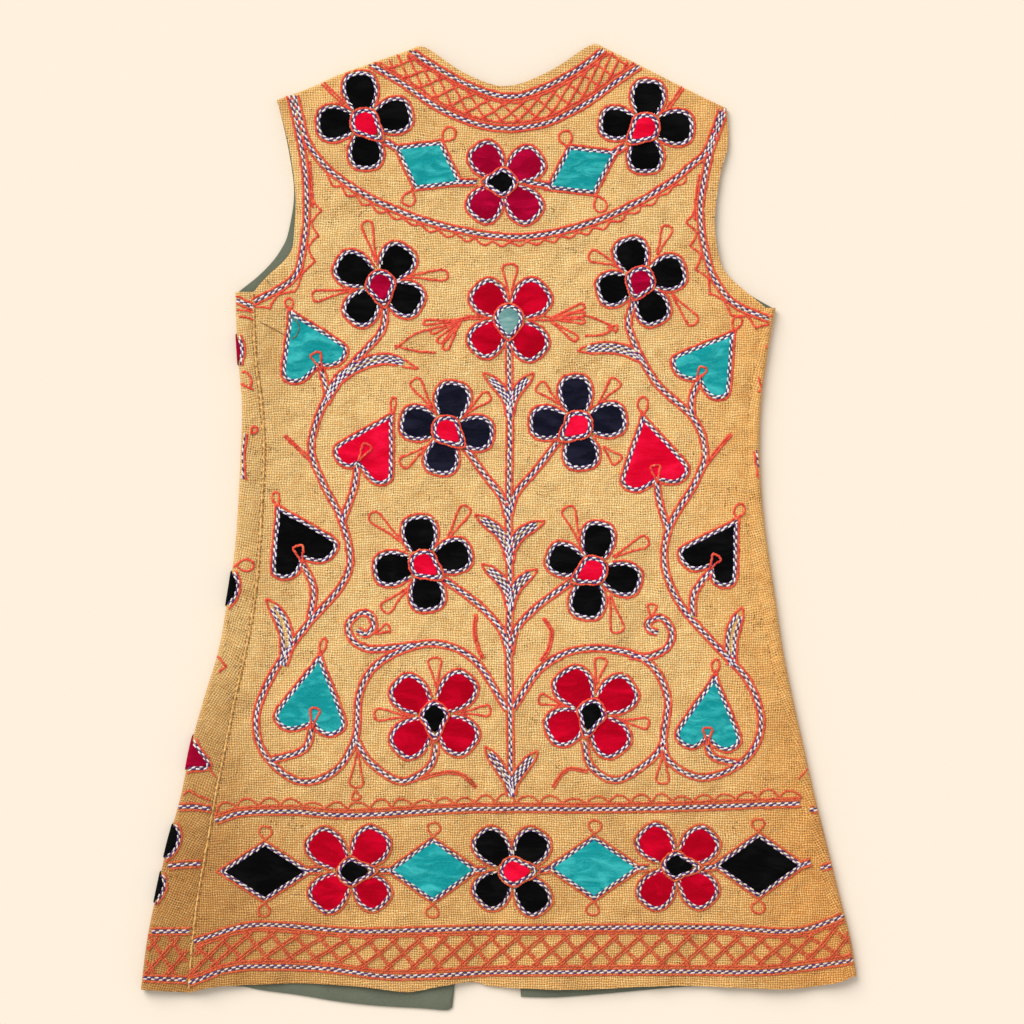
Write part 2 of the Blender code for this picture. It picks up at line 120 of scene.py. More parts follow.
def add_object(name, points, faces, material):
    """Object with one mesh through points in mm."""
    mesh = bpy.data.meshes.new(name)
    mesh.from_pydata((np.reshape(points, (-1, 3)) * MM).tolist(), [], faces)
    mesh.materials.append(material)
    return linked(name, mesh)


floor_material, _, _ = new_material("floor paper", base_color=(*FLOOR_COLOUR, 1.0), roughness=0.9)
floor_corners = [(x * FLOOR_HALF, y * FLOOR_HALF, FLOOR_DEPTH)
                 for x, y in ((-1, -1), (1, -1), (1, 1), (-1, 1))]
floor = add_object("floor", floor_corners, [(0, 1, 2, 3)], floor_material)

# Back panel
# One panel of coarse jute hessian, cut wide at the hem. Its edges are turned in, and it lies over
# both fronts with soft creases that run up from the hem and round the armholes.
HESSIAN = 1.5
LAID_HEIGHT = 6.0
SHOULDER_HEIGHT = 5.0
SHOULDER_EASE = (3.0, 60.0)
FOLD_RADIUS = 4.0
FOLD_EASE = 22.0
UNDERARM_EASE = 45.0
SEAM_OPEN = 0.015
SEAM_VALLEY = 1.0
SEAM_WIDTH = 4.5
RIGHT_SEAM_FADE = (-280, -150)
TURN_RADIUS = 1.95
TURN_LIP = 0.4
TURN_STEPS = 5
SHOULDER_SLANT = 1.08
ROWS_BELOW_ARM = 22 * 7
ROWS_ABOVE_ARM = 9 * 7
SHOULDER_COLUMNS = 7 * 6
NECK_COLUMNS = 10 * 6
EDGE_DROPS = (0.75, 0.2)
HEM_DROP = 0.4
NECK_SLACK = 0.45

# Which way is inwards from each side
HANDS = {"left": 1, "right": -1}
# X of the side lines at heights 40 mm apart, from the hem up
SIDE_HEIGHTS = np.arange(-380.0, 221.0, 40.0)
SIDES = {
    "left_fold": (-294, -289, -281, -272, -261, -253, -242, -230, -223, -217, -214, -212,
                  -211, -214, -216, -216),
    "left_seam": (-254, -251, -246, -239, -232, -224, -216, -207, -200, -196, -194, -192,
                  -194, -199, -201, -202),
    "right_seam": (284, 279, 268, 258, 251, 243, 231, 221, 214, 206, 204, 204, 205, 211, 219,
                   229),
    "right_fold": (295, 289, 279, 269, 259, 250, 241, 233, 227, 221, 216, 214, 215, 220, 227,
                   235),
}
END_HEIGHTS = {
    "left_fold": (-379, 193), "left_seam": (-381.5, 193),
    "right_fold": (-368, 180), "right_seam": (-371.5, 180),
}
BACK_HEM = ((-254, -381.5), (-238, -377.5), (-219, -376), (-161, -374), (-108, -377), (-75, -381),
            (-46, -376), (-20, -373), (-2, -377), (64, -379), (143, -376), (233, -378.5),
            (271, -374.5), (284, -371.5))
BACK_ARMHOLE = {
    "left": ((-190, 206), (-177, 218), (-170, 228), (-168, 242), (-167, 273), (-172, 311),
             (-182, 351)),
    "right": ((196, 199), (187, 208), (181, 220), (177, 250), (181, 287), (188, 315), (187, 344)),
}
SHOULDER = {
    "left": ((-182, 351), (-155, 361), (-128, 373), (-85, 388), (-66, 395)),
    "right": ((187, 344), (166, 354), (134, 370), (107, 384), (80, 397)),
}
BACK_NECK = ((-66, 395), (-57, 392), (-27, 372), (6, 362), (41, 374), (70, 393), (80, 397))

# From, to, half width, rise (a minus is a trough) and how far the ends fade
CREASES = (
    (-10, -440, -6, -230, 32, -3.0, 60), (-15, -270, -12, -50, 20, -1.5, 60),
    (-4, 40, -2, 165, 22, -1.25, 40), (-178, 185, -171, 128, 20, -1.38, 30),
    (190, 186, 187, 138, 20, -1.38, 25), (-246, -430, -236, -270, 22, 1.62, 60),
    (-204, -430, -200, -290, 24, -1.25, 60), (-98, -430, -106, -280, 45, 1.75, 80),
    (-160, -430, -165, -300, 36, -1.12, 60), (64, -430, 58, -290, 48, 1.5, 80),
    (160, -430, 156, -280, 40, -1.12, 70), (232, -430, 216, -270, 34, 1.88, 80),
    (-196, -120, -186, 40, 30, 1.12, 60), (187, -150, 172, 30, 32, 1.12, 60),
    (-24, -236, -16, -180, 7, -1.44, 18), (-2, -250, -8, -196, 8, 1.28, 20),
    (-38, -205, -22, -120, 10, -0.96, 30), (12, -120, 24, -40, 12, -0.8, 26),
    (-150, 190, -128, 150, 9, -1.12, 16), (-186, 172, -150, 160, 8, -0.96, 14),
    (176, 176, 160, 140, 9, -1.12, 16), (206, 168, 176, 152, 8, -0.96, 12),
    (-208, -60, -150, -76, 11, -0.8, 22), (-196, -128, -150, -150, 10, 0.8, 18),
    (200, -60, 160, -84, 11, -0.8, 18), (232, -150, 196, -170, 10, 0.8, 15),
    (-74, 226, -20, 214, 10, -0.8, 20), (36, 216, 92, 232, 10, -0.8, 20),
    (-120, 60, -84, 20, 12, -0.8, 20), (96, 44, 140, 14, 12, -0.8, 20),
    (-96, -70, -40, -84, 11, 0.8, 20), (44, -84, 104, -72, 11, 0.8, 20),
    (88, -316, 132, -322, 8, -1.12, 16), (30, -254, 52, -262, 8, -0.96, 9),
    (242, -306, 262, -282, 9, -1.44, 10), (226, -326, 258, -318, 8, 1.12, 12),
    (-178, -244, -150, -252, 8, -0.96, 10), (-226, -318, -196, -306, 9, -1.12, 12),
    (-236, -262, -214, -246, 8, 1.12, 10), (-142, 262, -120, 300, 10, -0.8, 15),
    (146, 262, 122, 296, 10, -0.8, 15), (-34, 296, 30, 322, 12, 0.64, 22),
)
# Wavelength along X and Y, and height, of the slack that the stitching leaves between the motifs
RIPPLES = ((83, 131, 0.45), (47, 61, 0.42), (29, 37, 0.28), (17, 21, 0.12))
PUCKER_SPACING = 11.0
PUCKER_REACH = 7.0
PUCKER_HEIGHT = 0.5
PUCKER_FADE = (150, 190)

THREADS_PER_METRE = 507.0
THREAD_WANDER = 4.2
YARN_LIGHT = (1.0, 0.770, 0.360, 1.0)
YARN_DARK = (0.930, 0.570, 0.205, 1.0)
SHADE_COLOUR = (0.520, 0.232, 0.048, 1.0)
PORE_SHADE_COLOUR = (0.200, 0.072, 0.012, 1.0)
SHADE_AND_SMUDGE_TINT = (0.520, 0.350, 0.150, 1.0)
ORANGE_SHADE_AND_TINT = (0.920, 0.600, 0.250, 1.0)
# Painted shade on the sides, towards the hem and at the lower left, and an orange tint at the yoke:
# direction, from and to along it in metres, strength and tint
SHADE_AND_TINT_PLACES = (
    ("left", 0.137, 0.202, 0.22, SHADE_AND_SMUDGE_TINT), ("right", 0.115, 0.215, 0.52, ORANGE_SHADE_AND_TINT),
    ("up", -0.10, -0.38, 0.08, SHADE_AND_SMUDGE_TINT), ("up", -0.10, -0.38, 0.26, ORANGE_SHADE_AND_TINT),
    ("up", 0.26, 0.36, 0.28, ORANGE_SHADE_AND_TINT), ("left_corner", 0.24, 0.38, 0.50, SHADE_AND_SMUDGE_TINT),
)
# Patches of painted shade for soft creases, mixed with smudges: noise scale, from and to in its value,
# and strength
SMUDGE_AND_SHADE_PATCHES = ((24.0, 0.48, 0.74, 0.26), (75.0, 0.52, 0.78, 0.24))


def lengths_along(path):
    """Distance along a path at each of its points."""
    return np.concatenate([[0.0], np.cumsum(np.linalg.norm(np.diff(path, axis=0), axis=1))])


def points_at(path, distances):
    """Points of a path at the given distances along it."""
    travel = lengths_along(path)
    return np.stack([np.interp(distances, travel, path[:, axis]) for axis in (0, 1)], axis=1)


def extended(values):
    """Values with one more at each end, in line with the last two."""
    return np.concatenate([[2 * values[0] - values[1]], values, [2 * values[-1] - values[-2]]])


def spline(a, b, c, d, t):
    """Point between b and c of the smooth curve that passes a, b, c and d."""
    return 0.5 * (2 * b + (c - a) * t + (2 * a - 5 * b + 4 * c - d) * t ** 2
                  + (3 * b - a - 3 * c + d) * t ** 3)


def smooth(points, shares):
    """Points at the given shares of the length of a smooth curve through the points."""
    knots = extended(np.array(points, float))
    steps = np.linspace(0, 1, 11)[1:, None]
    fine = [knots[1:2]]
    for k in range(1, len(knots) - 2):
        fine.append(spline(knots[k - 1], knots[k], knots[k + 1], knots[k + 2], steps))
    fine = np.vstack(fine)
    return points_at(fine, np.asarray(shares) * lengths_along(fine)[-1])


def even(steps):
    """Evenly spaced shares from 0 to 1."""
    return np.linspace(0, 1, steps + 1)


def side(name, y):
    """X of a side line at height y, smooth through its rows."""
    longer = extended(np.array(SIDES[name], float))
    place = (np.asarray(y, float) - SIDE_HEIGHTS[0]) / (SIDE_HEIGHTS[1] - SIDE_HEIGHTS[0])
    k = np.clip(np.floor(place), 0, len(SIDE_HEIGHTS) - 2).astype(int)
    return spline(longer[k], longer[k + 1], longer[k + 2], longer[k + 3], place - k)


def from_side(name, x, y):
    """How far plan points lie to the right of a side line, or of its upper end."""
    return x - side(name, np.minimum(y, SIDE_HEIGHTS[-1]))


def side_line(name, offset):
    """Plan points of a side line from the hem up to the underarm, moved sideways by offset."""
    heights = np.linspace(*END_HEIGHTS[name], ROWS_BELOW_ARM + 1)
    return np.stack([side(name, heights) + offset, heights], axis=1)


def fill_between(bottom, top, left, right, shares):
    """Rows of plan points that fill four edges; shares place the columns."""
    u = np.asarray(shares)[None, :, None]
    v = even(len(left) - 1)[:, None, None]
    across = left[:, None] * (1 - u) + right[:, None] * u
    up = bottom[None] * (1 - v) + top[None] * v
    corners = (bottom[0] * (1 - u) + bottom[-1] * u) * (1 - v) + (top[0] * (1 - u) + top[-1] * u) * v
    return across + up - corners


def ramp(value, start, end):
    """Smooth rise from 0 at the start to 1 at the end."""
    t = np.clip((value - start) / (end - start), 0, 1)
    return t * t * (3 - 2 * t)


def crease_rise(crease, x, y):
    """Rise of one crease at plan points."""
    x0, y0, x1, y1, half_width, rise, fade = crease
    length = math.hypot(x1 - x0, y1 - y0)
    along_x, along_y = (x1 - x0) / length, (y1 - y0) / length
    place = (x - x0) * along_x + (y - y0) * along_y
    across = np.abs((x - x0) * along_y - (y - y0) * along_x) / half_width
    ends = ramp(place, 0, fade) * ramp(length - place, 0, fade)
    return rise * ends * 0.5 * (1 + np.cos(math.pi * np.minimum(across, 1)))


def shoulder_distance(x, y, line):
    """Distance of plan points from the straight line between a shoulder's ends."""
    start, end = np.array(line[0], float), np.array(line[-1], float)
    along = end - start
    t = np.clip(((x - start[0]) * along[0] + (y - start[1]) * along[1]) / (along @ along), 0, 1)
    return np.hypot(x - start[0] - along[0] * t, y - start[1] - along[1] * t)


def cloth_height(x, y):
    """Height of the upper face of the back and of the side strips, with all their creases."""
    x, y = np.asarray(x, float), np.asarray(y, float)
    rise = np.zeros_like(x)
    inside = np.ones_like(x)
    for hand, sign in HANDS.items():
        underarm = END_HEIGHTS[hand + "_fold"][1]
        depth = np.maximum(0, sign * from_side(hand + "_fold", x, y) - FOLD_RADIUS)
        below_arm = 1 - ramp(y, underarm, underarm + UNDERARM_EASE)
        near = np.exp(-(depth / FOLD_EASE) ** 2) * below_arm
        rise += (2 * FOLD_RADIUS - LAID_HEIGHT) * near
        inside *= 1 - near
    creases = sum(crease_rise(crease, x, y) for crease in CREASES)
    for wave_x, wave_y, wave_height in RIPPLES:
        turn_x, turn_y = 2 * math.pi * x / wave_x, 2 * math.pi * y / wave_y
        creases += wave_height * np.sin(turn_x + 2 * np.sin(0.6 * turn_y)) * np.cos(turn_y + 1.3)
    rise += inside * creases
    for hand in HANDS:
        from_seam = np.abs(from_side(hand + "_seam", x, y))
        puckers = np.sin(2 * math.pi * y / PUCKER_SPACING + 1.7 * np.sin(y / 23))
        shown = 1 - ramp(y, *PUCKER_FADE)
        rise += PUCKER_HEIGHT * puckers * np.exp(-(from_seam / PUCKER_REACH) ** 2) * shown
        depth = SEAM_VALLEY * (ramp(y, *RIGHT_SEAM_FADE) if hand == "right" else 1.0)
        rise -= depth * np.exp(-(from_seam / SEAM_WIDTH) ** 2)
    from_shoulder = np.minimum(*(shoulder_distance(x, y, SHOULDER[hand]) for hand in HANDS))
    rise -= (LAID_HEIGHT - SHOULDER_HEIGHT) * (1 - ramp(from_shoulder, *SHOULDER_EASE))
    return LAID_HEIGHT + rise


def turned_rows(top, foot_height, direction, is_turned):
    """Rows of a shoulder edge that turns up (1) or down (-1); an unturned column stays flat."""
    angles = np.linspace(0, math.pi / 2, TURN_STEPS + 1)
    rolled = TURN_RADIUS * math.pi / 2 + TURN_LIP
    depths = np.append(TURN_RADIUS * (1 - np.sin(angles)), 0.0)
    climbs = np.append(TURN_RADIUS * (1 - np.cos(angles)), TURN_RADIUS + TURN_LIP)
    travels = np.append(TURN_RADIUS * angles, rolled)
    rows = []
    for depth, climb, travel in zip(depths, climbs, travels):
        y = top[:, 1] - np.where(is_turned, depth, NECK_SLACK * (rolled - travel)) * SHOULDER_SLANT
        z = foot_height(top[:, 0], y) + np.where(is_turned, direction * climb, 0.0)
        rows.append(np.stack([top[:, 0], y, z], axis=1))
    return np.array(rows)


def grid_faces(rows, columns):
    """Numbers of a grid's points, and its faces for each row and column."""
    index = np.arange(rows * columns).reshape(rows, columns)
    faces = np.stack([index[:-1, :-1], index[:-1, 1:], index[1:, 1:], index[1:, :-1]], axis=-1)
    return index, faces


def add_panel(name, points, uvs, material, wall, upwards=True, keep=slice(None)):
    """Cloth panel through rows of points in mm, with its pattern in metres and its thickness."""
    quads = grid_faces(*points.shape[:2])[1][keep].reshape(-1, 4)
    if not upwards:
        quads = quads[:, ::-1]
    used, quads = np.unique(quads, return_inverse=True)
    quads = quads.reshape(-1, 4)
    panel = add_object(name, points.reshape(-1, 3)[used], quads.tolist(), material)
    mesh = panel.data
    layer = mesh.uv_layers.new(name="cloth")
    layer.data.foreach_set("uv", (uvs.reshape(-1, 2)[used][quads.ravel()] * MM).ravel())
    edge_numbers = np.empty(len(mesh.loops), int)
    mesh.loops.foreach_get("edge_index", edge_numbers)
    mesh.edges.foreach_set("use_edge_sharp", np.bincount(edge_numbers) == 1)
    mesh.shade_smooth()
    solid = panel.modifiers.new("wall", "SOLIDIFY")
    solid.thickness = wall * MM
    solid.offset = -1.0
    return panel


def maths(tree, operation, *values):
    """Value worked out from others."""
    return add_node(tree, "Math", enumerate(values), operation=operation).outputs[0]


def vector_maths(tree, operation, first, second):
    """Vector sum, difference or multiple of two values."""
    other = "Scale" if operation == "SCALE" else 1
    return add_node(tree, "VectorMath", {0: first, other: second}, operation=operation).outputs[0]


def mixed(tree, factor, first, second, blend="MIX"):
    """Colour between two others, or one tinted by the other."""
    node = add_node(tree, "Mix", {0: factor, 6: first, 7: second}, data_type="RGBA",
                    blend_type=blend)
    return node.outputs[2]


def ranged(tree, value, low, high, out_low=0.0, out_high=1.0):
    """Value taken smoothly from one range to another, and held at its ends."""
    node = add_node(tree, "MapRange", {0: value, 1: low, 2: high, 3: out_low, 4: out_high},
                    interpolation_type="SMOOTHSTEP")
    return node.outputs[0]


def noise(tree, place, scale, detail=2.0, **more):
    """Value of a noise at a place."""
    inputs = {"Vector": place, "Scale": scale, "Detail": detail, **more}
    return add_node(tree, "TexNoise", inputs).outputs["Fac"]


def bumped(tree, height, strength, distance, **more):
    """Direction of a surface that has a relief."""
    inputs = {"Height": height, "Strength": strength, "Distance": distance, **more}
    return add_node(tree, "Bump", inputs).outputs[0]


def finish_shader(tree, shader, colour, relief):
    """Gives a shader its colour and its relief."""
    tree.links.new(colour, shader.inputs["Base Color"])
    tree.links.new(relief, shader.inputs["Normal"])


def new_group(name, inputs, outputs):
    """Shader node group, with its input and output nodes."""
    tree = bpy.data.node_groups.new(name, "ShaderNodeTree")
    for socket, kind in inputs:
        tree.interface.new_socket(socket, in_out="INPUT", socket_type=kind)
    for socket, kind in outputs:
        tree.interface.new_socket(socket, in_out="OUTPUT", socket_type=kind)
    return tree, tree.nodes.new("NodeGroupInput"), tree.nodes.new("NodeGroupOutput")


def make_weave_group():
    """Plain weave: yarns that pass over and under, drift from straight and leave pores between."""
    tree, given, result = new_group(
        "plain weave",
        (("Vector", "NodeSocketVector"), ("Threads per Metre", "NodeSocketFloat"),
         ("Wander", "NodeSocketFloat")),
        (("Height", "NodeSocketFloat"), ("Pore", "NodeSocketFloat"), ("Tone", "NodeSocketFloat")))
    threads = vector_maths(tree, "SCALE", given.outputs["Vector"], given.outputs["Threads per Metre"])
    drift = add_node(tree, "TexNoise",
                     {"Vector": threads, "Scale": 0.045, "Detail": 5.0, "Roughness": 0.72})
    centred = vector_maths(tree, "SUBTRACT", drift.outputs["Color"], (0.5, 0.5, 0.5))
    drifted = vector_maths(tree, "SCALE", centred, given.outputs["Wander"])
    place = vector_maths(tree, "ADD", threads, drifted)
    u, v, _ = add_node(tree, "SeparateXYZ", {0: place}).outputs
    warp_number, weft_number = maths(tree, "FLOOR", u), maths(tree, "FLOOR", v)
    arch_u, arch_v = (
        maths(tree, "SINE", maths(tree, "MULTIPLY", maths(tree, "FRACT", axis), math.pi))
        for axis in (u, v))
    odd = maths(tree, "FLOORED_MODULO", maths(tree, "ADD", warp_number, weft_number), 2.0)
    sign = maths(tree, "MULTIPLY_ADD", odd, -1.0, 0.5)
    warp = maths(tree, "MULTIPLY", arch_u, maths(tree, "MULTIPLY_ADD", sign, arch_v, 1.0))
    against = maths(tree, "MULTIPLY", sign, -1.0)
    weft = maths(tree, "MULTIPLY", arch_v, maths(tree, "MULTIPLY_ADD", against, arch_u, 1.0))
    warp_on_top = maths(tree, "GREATER_THAN", warp, weft)
    height = maths(tree, "DIVIDE", maths(tree, "MAXIMUM", warp, weft), 1.5)
    speckle = noise(tree, place, 0.6)
    slack = noise(tree, place, 0.11)
    loose = maths(tree, "MULTIPLY_ADD", speckle, 2.6, -1.3)
    loose = maths(tree, "MULTIPLY_ADD", slack, 1.6, maths(tree, "ADD", loose, -0.8))
    gap = maths(tree, "SUBTRACT", 1.0, maths(tree, "MAXIMUM", arch_u, arch_v))
    pore = ranged(tree, maths(tree, "ADD", gap, loose), 0.42, 1.10)
    height = maths(tree, "MULTIPLY_ADD", speckle, 0.7, maths(tree, "ADD", height, -0.35))
    warp_place = add_node(tree, "CombineXYZ",
                          {0: maths(tree, "MULTIPLY", warp_number, 1.37),
                           1: maths(tree, "MULTIPLY", v, 0.17)}).outputs[0]
    weft_place = add_node(tree, "CombineXYZ",
                          {0: maths(tree, "MULTIPLY", u, 0.17),
                           1: maths(tree, "MULTIPLY", weft_number, 1.37), 2: 40.0}).outputs[0]
    yarn = add_node(tree, "Mix", {0: warp_on_top, 4: weft_place, 5: warp_place}, data_type="VECTOR")
    tone = ranged(tree, noise(tree, yarn.outputs[1], 1.0), 0.28, 0.72)
    for name, value in (("Height", height), ("Pore", pore), ("Tone", tone)):
        tree.links.new(value, result.inputs[name])
    return tree


weave_group = make_weave_group()


def make_hessian():
    """Dry jute cloth: pale and brown yarns, painted shade in its pores and hollows, patches of painted
    shade and smudges, and painted shade on its sides and towards its darker hem.
    """
    material, tree, shader = new_material("hessian", roughness=0.88, sheen_weight=0.12,
                                          sheen_roughness=0.5, specular_ior_level=0.25)
    uv = add_node(tree, "UVMap", uv_map="cloth").outputs[0]
    weave = add_node(tree, "Group", {"Vector": uv, "Threads per Metre": THREADS_PER_METRE,
                                     "Wander": THREAD_WANDER}, node_tree=weave_group)
    yarn = mixed(tree, weave.outputs["Tone"], YARN_DARK, YARN_LIGHT)
    place = add_node(tree, "TexCoord").outputs["Object"]
    across, up, _ = add_node(tree, "SeparateXYZ", {0: place}).outputs
    # Painted shade: the yarns darken where the weave lies low, more so towards the hem.
    depth = ranged(tree, up, -0.05, -0.30, 0.54, 0.78)
    deep = maths(tree, "MULTIPLY", depth, ranged(tree, weave.outputs["Height"], 0.42, 0.98, 1.0, 0.0))
    yarn = mixed(tree, deep, yarn, SHADE_COLOUR)
    # Painted shade: the pores between the yarns are real gaps, coloured dark as if shaded from below.
    pore_shade = maths(tree, "MULTIPLY", weave.outputs["Pore"], 0.85)
    cloth = mixed(tree, pore_shade, yarn, PORE_SHADE_COLOUR)
    # Painted shade for soft creases, mixed with smudges, in noise patches.
    for size, low, high, strength in SMUDGE_AND_SHADE_PATCHES:
        smudge_and_shade = ranged(tree, noise(tree, place, size, 4.0), low, high, 0.0, strength)
        cloth = mixed(tree, smudge_and_shade, cloth, SHADE_AND_SMUDGE_TINT, "MULTIPLY")
    below = maths(tree, "MULTIPLY", maths(tree, "MINIMUM", up, -0.02), 0.17)
    leftwards = maths(tree, "MULTIPLY", across, -1.0)
    ways = {"left": maths(tree, "SUBTRACT", below, across), "right": maths(tree, "ADD", below, across),
            "up": up, "left_corner": maths(tree, "MULTIPLY_ADD", up, -0.45, leftwards)}
    # Painted shade on the side strips, towards the hem and at the lower left corner, and an orange tint
    # at the yoke.
    for way, start, end, strength, tint in SHADE_AND_TINT_PLACES:
        shade_and_tint = ranged(tree, ways[way], start, end, 0.0, strength)
        cloth = mixed(tree, shade_and_tint, cloth, tint, "MULTIPLY")
    rumple = bumped(tree, noise(tree, place, 42.0, 3.0, Distortion=0.4), 0.75, 0.006)
    relief = bumped(tree, weave.outputs["Height"], 0.95, 0.0009, Normal=rumple)
    finish_shader(tree, shader, cloth, relief)
    return material


hessian = make_hessian()


def make_back():
    """Back panel, with turned shoulders and lowered edges."""
    shoulder_shares = even(SHOULDER_COLUMNS)
    left = smooth(SHOULDER["left"], shoulder_shares)
    right = smooth(SHOULDER["right"], shoulder_shares)[::-1]
    neck = smooth(BACK_NECK, even(NECK_COLUMNS))
    top = np.vstack([left, neck[1:-1], right])
    is_turned = np.array([True] * len(left) + [False] * (NECK_COLUMNS - 1) + [True] * len(right))
    shares = even(len(top) - 1)
    edges = []
    for hand, sign in HANDS.items():
        seam = side_line(hand + "_seam", sign * SEAM_OPEN)
        armhole = smooth((tuple(seam[-1]),) + BACK_ARMHOLE[hand], even(ROWS_ABOVE_ARM))
        edges.append(np.vstack([seam, armhole[1:]]))
    plan = fill_between(smooth(BACK_HEM, shares), top, edges[0], edges[1], shares)[:-1]
    rows = np.dstack([plan, cloth_height(plan[..., 0], plan[..., 1])])
    points = np.vstack([rows, turned_rows(top, cloth_height, -1, is_turned)])
    for k, drop in enumerate(EDGE_DROPS):
        points[k, :, 2] -= HEM_DROP * drop
        points[ROWS_BELOW_ARM:, k, 2] -= drop
        points[ROWS_BELOW_ARM:, -1 - k, 2] -= drop
    return add_panel("back_panel", points, points[..., :2], hessian, HESSIAN)


back = make_back()
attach(back, "root")
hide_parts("back")

# Fronts
# Two hessian fronts. Each lies on the surface with its outer face down, turns round its side fold
# and comes up as a narrow strip to the side seam, where its grain slants.
FLOOR_SHARES = (0.0, 0.03, 0.08, 0.2, 0.4, 0.6, 0.8, 1.0)
FLOOR_FINER = 5
FOLD_STEPS = 12
STRIP_COLUMNS = 10
SLOPE_STEP = 5
EDGE_INSET = 1.2
INSET_COLUMNS = 8
FRONT_HEM = {
    "left": ((-38.5, -394.5), (-44, -396.5), (-63, -395), (-99, -393), (-135, -389), (-165, -384),
             (-196, -380), (-213, -377), (-254, -378), (-290, -379)),
    "right": ((18, -385.5), (46, -386), (87, -383), (143, -378), (190, -375.5), (239, -374),
              (289, -368)),
}
FRONT_EDGE = {
    "left": ((-38.5, -394.5), (-29, -312), (-19, -224), (-13, -78), (-5, 60), (-1, 150)),
    "right": ((18, -385.5), (15, -305), (11, -224), (7, -78), (5, 60), (3, 150)),
}
FRONT_NECK = {
    "left": ((-1, 150), (-18, 200), (-38, 270), (-56, 350), (-66, 395)),
    "right": ((3, 150), (22, 200), (44, 270), (66, 350), (80, 397)),
}
FRONT_ARMHOLE = {
    "left": ((-206, 198), (-196, 206), (-185, 217), (-177, 228), (-171, 242), (-168, 273),
             (-173, 311), (-182, 351)),
    "right": ((204, 191), (192, 200), (183, 210), (178, 222), (174.5, 250), (179, 287),
              (186, 315), (187, 344)),
}


def floor_plan(hand):
    """Plan points of a front where it lies on the surface, from its edge to its side fold."""
    shares = np.interp(even(7 * FLOOR_FINER), even(7), FLOOR_SHARES)
    edge = smooth(FRONT_EDGE[hand], even(ROWS_BELOW_ARM))
    neck = smooth(FRONT_NECK[hand], even(ROWS_ABOVE_ARM))
    fold = side_line(hand + "_fold", HANDS[hand] * FOLD_RADIUS)
    armhole = smooth((tuple(fold[-1]),) + FRONT_ARMHOLE[hand], even(ROWS_ABOVE_ARM))
    return fill_between(smooth(FRONT_HEM[hand], shares), smooth(SHOULDER[hand][::-1], shares),
                        np.vstack([edge, neck[1:]]), np.vstack([fold, armhole[1:]]), shares)


def mirrored_over_fold(hand, plan):
    """Where a strip's points lie in the cloth once it is opened flat about its side fold."""
    x, y = plan[..., 0], plan[..., 1]
    above, at, below = (side(hand + "_fold", y + step) for step in (SLOPE_STEP, 0, -SLOPE_STEP))
    slope = (above - below) / (2 * SLOPE_STEP)
    from_fold = (x - at) / (1 + slope ** 2)
    return np.stack([x - 2 * from_fold, y + 2 * from_fold * slope], axis=-1)


def make_front(hand):
    """Front panel: its flat part, its turn round the side fold and its strip up to the seam."""
    sign = HANDS[hand]
    plan = floor_plan(hand)
    plan[0, :, 1] += EDGE_INSET
    plan[:, :INSET_COLUMNS, 0] -= sign * EDGE_INSET * (1 - np.arange(INSET_COLUMNS) / INSET_COLUMNS)
    flat = np.dstack([plan[:-1], np.zeros(plan[:-1].shape[:2])])
    top_edge = turned_rows(plan[-1], lambda x, y: np.zeros_like(x), 1, np.full(plan.shape[1], True))
    floor_points = np.vstack([flat, top_edge])
    fold_line = side_line(hand + "_fold", 0.0)
    seam_line = side_line(hand + "_seam", -sign * SEAM_OPEN)
    angles = np.linspace(0, math.pi, FOLD_STEPS + 1)[1:]
    roll_x = fold_line[:, :1] + sign * FOLD_RADIUS * (1 - np.sin(angles))
    roll_z = np.broadcast_to(FOLD_RADIUS * (1 - np.cos(angles)), roll_x.shape)
    roll_y = np.broadcast_to(fold_line[:, 1:], roll_x.shape)
    roll = np.dstack([roll_x, roll_y, roll_z])
    starts = fold_line + (sign * FOLD_RADIUS, 0.0)
    across = even(STRIP_COLUMNS)[None, 1:, None]
    strip_plan = starts[:, None] * (1 - across) + seam_line[:, None] * across
    strip = np.dstack([strip_plan, cloth_height(strip_plan[..., 0], strip_plan[..., 1])])
    strip[0, :, 2] -= HEM_DROP * EDGE_DROPS[0]
    turned_over = np.concatenate([roll, strip], axis=1)
    arc = sign * FOLD_RADIUS * angles
    roll_uv = np.dstack([fold_line[:, :1] + sign * FOLD_RADIUS - arc, roll_y])
    strip_uv = mirrored_over_fold(hand, strip_plan)
    strip_uv[..., 0] -= sign * (math.pi - 2) * FOLD_RADIUS
    missing = len(floor_points) - len(turned_over)
    spare = np.zeros((missing, turned_over.shape[1], 3))
    points = np.concatenate([floor_points, np.vstack([turned_over, spare])], axis=1)
    side_uv = np.vstack([np.concatenate([roll_uv, strip_uv], axis=1), spare[..., :2]])
    uvs = np.concatenate([floor_points[..., :2], side_uv], axis=1)
    keep = np.full((len(points) - 1, points.shape[1] - 1), True)
    keep[ROWS_BELOW_ARM:, floor_points.shape[1] - 1:] = False
    return add_panel("front_panel_" + hand, points, uvs, hessian, HESSIAN, upwards=hand == "left",
                     keep=keep)


FRONT_CUTS = {"left": ((0.305, 0.780), 0.190), "right": ((0.300, 0.770), 0.180)}
fronts = {}
for hand, (flat_size, flat_area) in FRONT_CUTS.items():
    fronts[hand] = make_front(hand)
    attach(fronts[hand], "root")
    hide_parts("front_" + hand)

# Linings
# Sage green cotton, sewn to the edges of each front. It shows below the back's hem, where it is
# rolled over the front's raw edge, and at the left armhole.
LINING = 1.0
LINING_GAP = 0.3
LINING_HEIGHT = HESSIAN + LINING_GAP + LINING
LINING_RIM = (1.5, 0.45, 0.1)
LINING_RIPPLES = (11, 17, 0.25)
LINING_COVER = 2.2
LINING_COVER_FADE = (235, 285)
COTTON_PER_METRE = 1900.0
COTTON_WANDER = 1.5
COTTON_LIGHT = (0.175, 0.190, 0.135, 1.0)
COTTON_DARK = (0.088, 0.104, 0.070, 1.0)


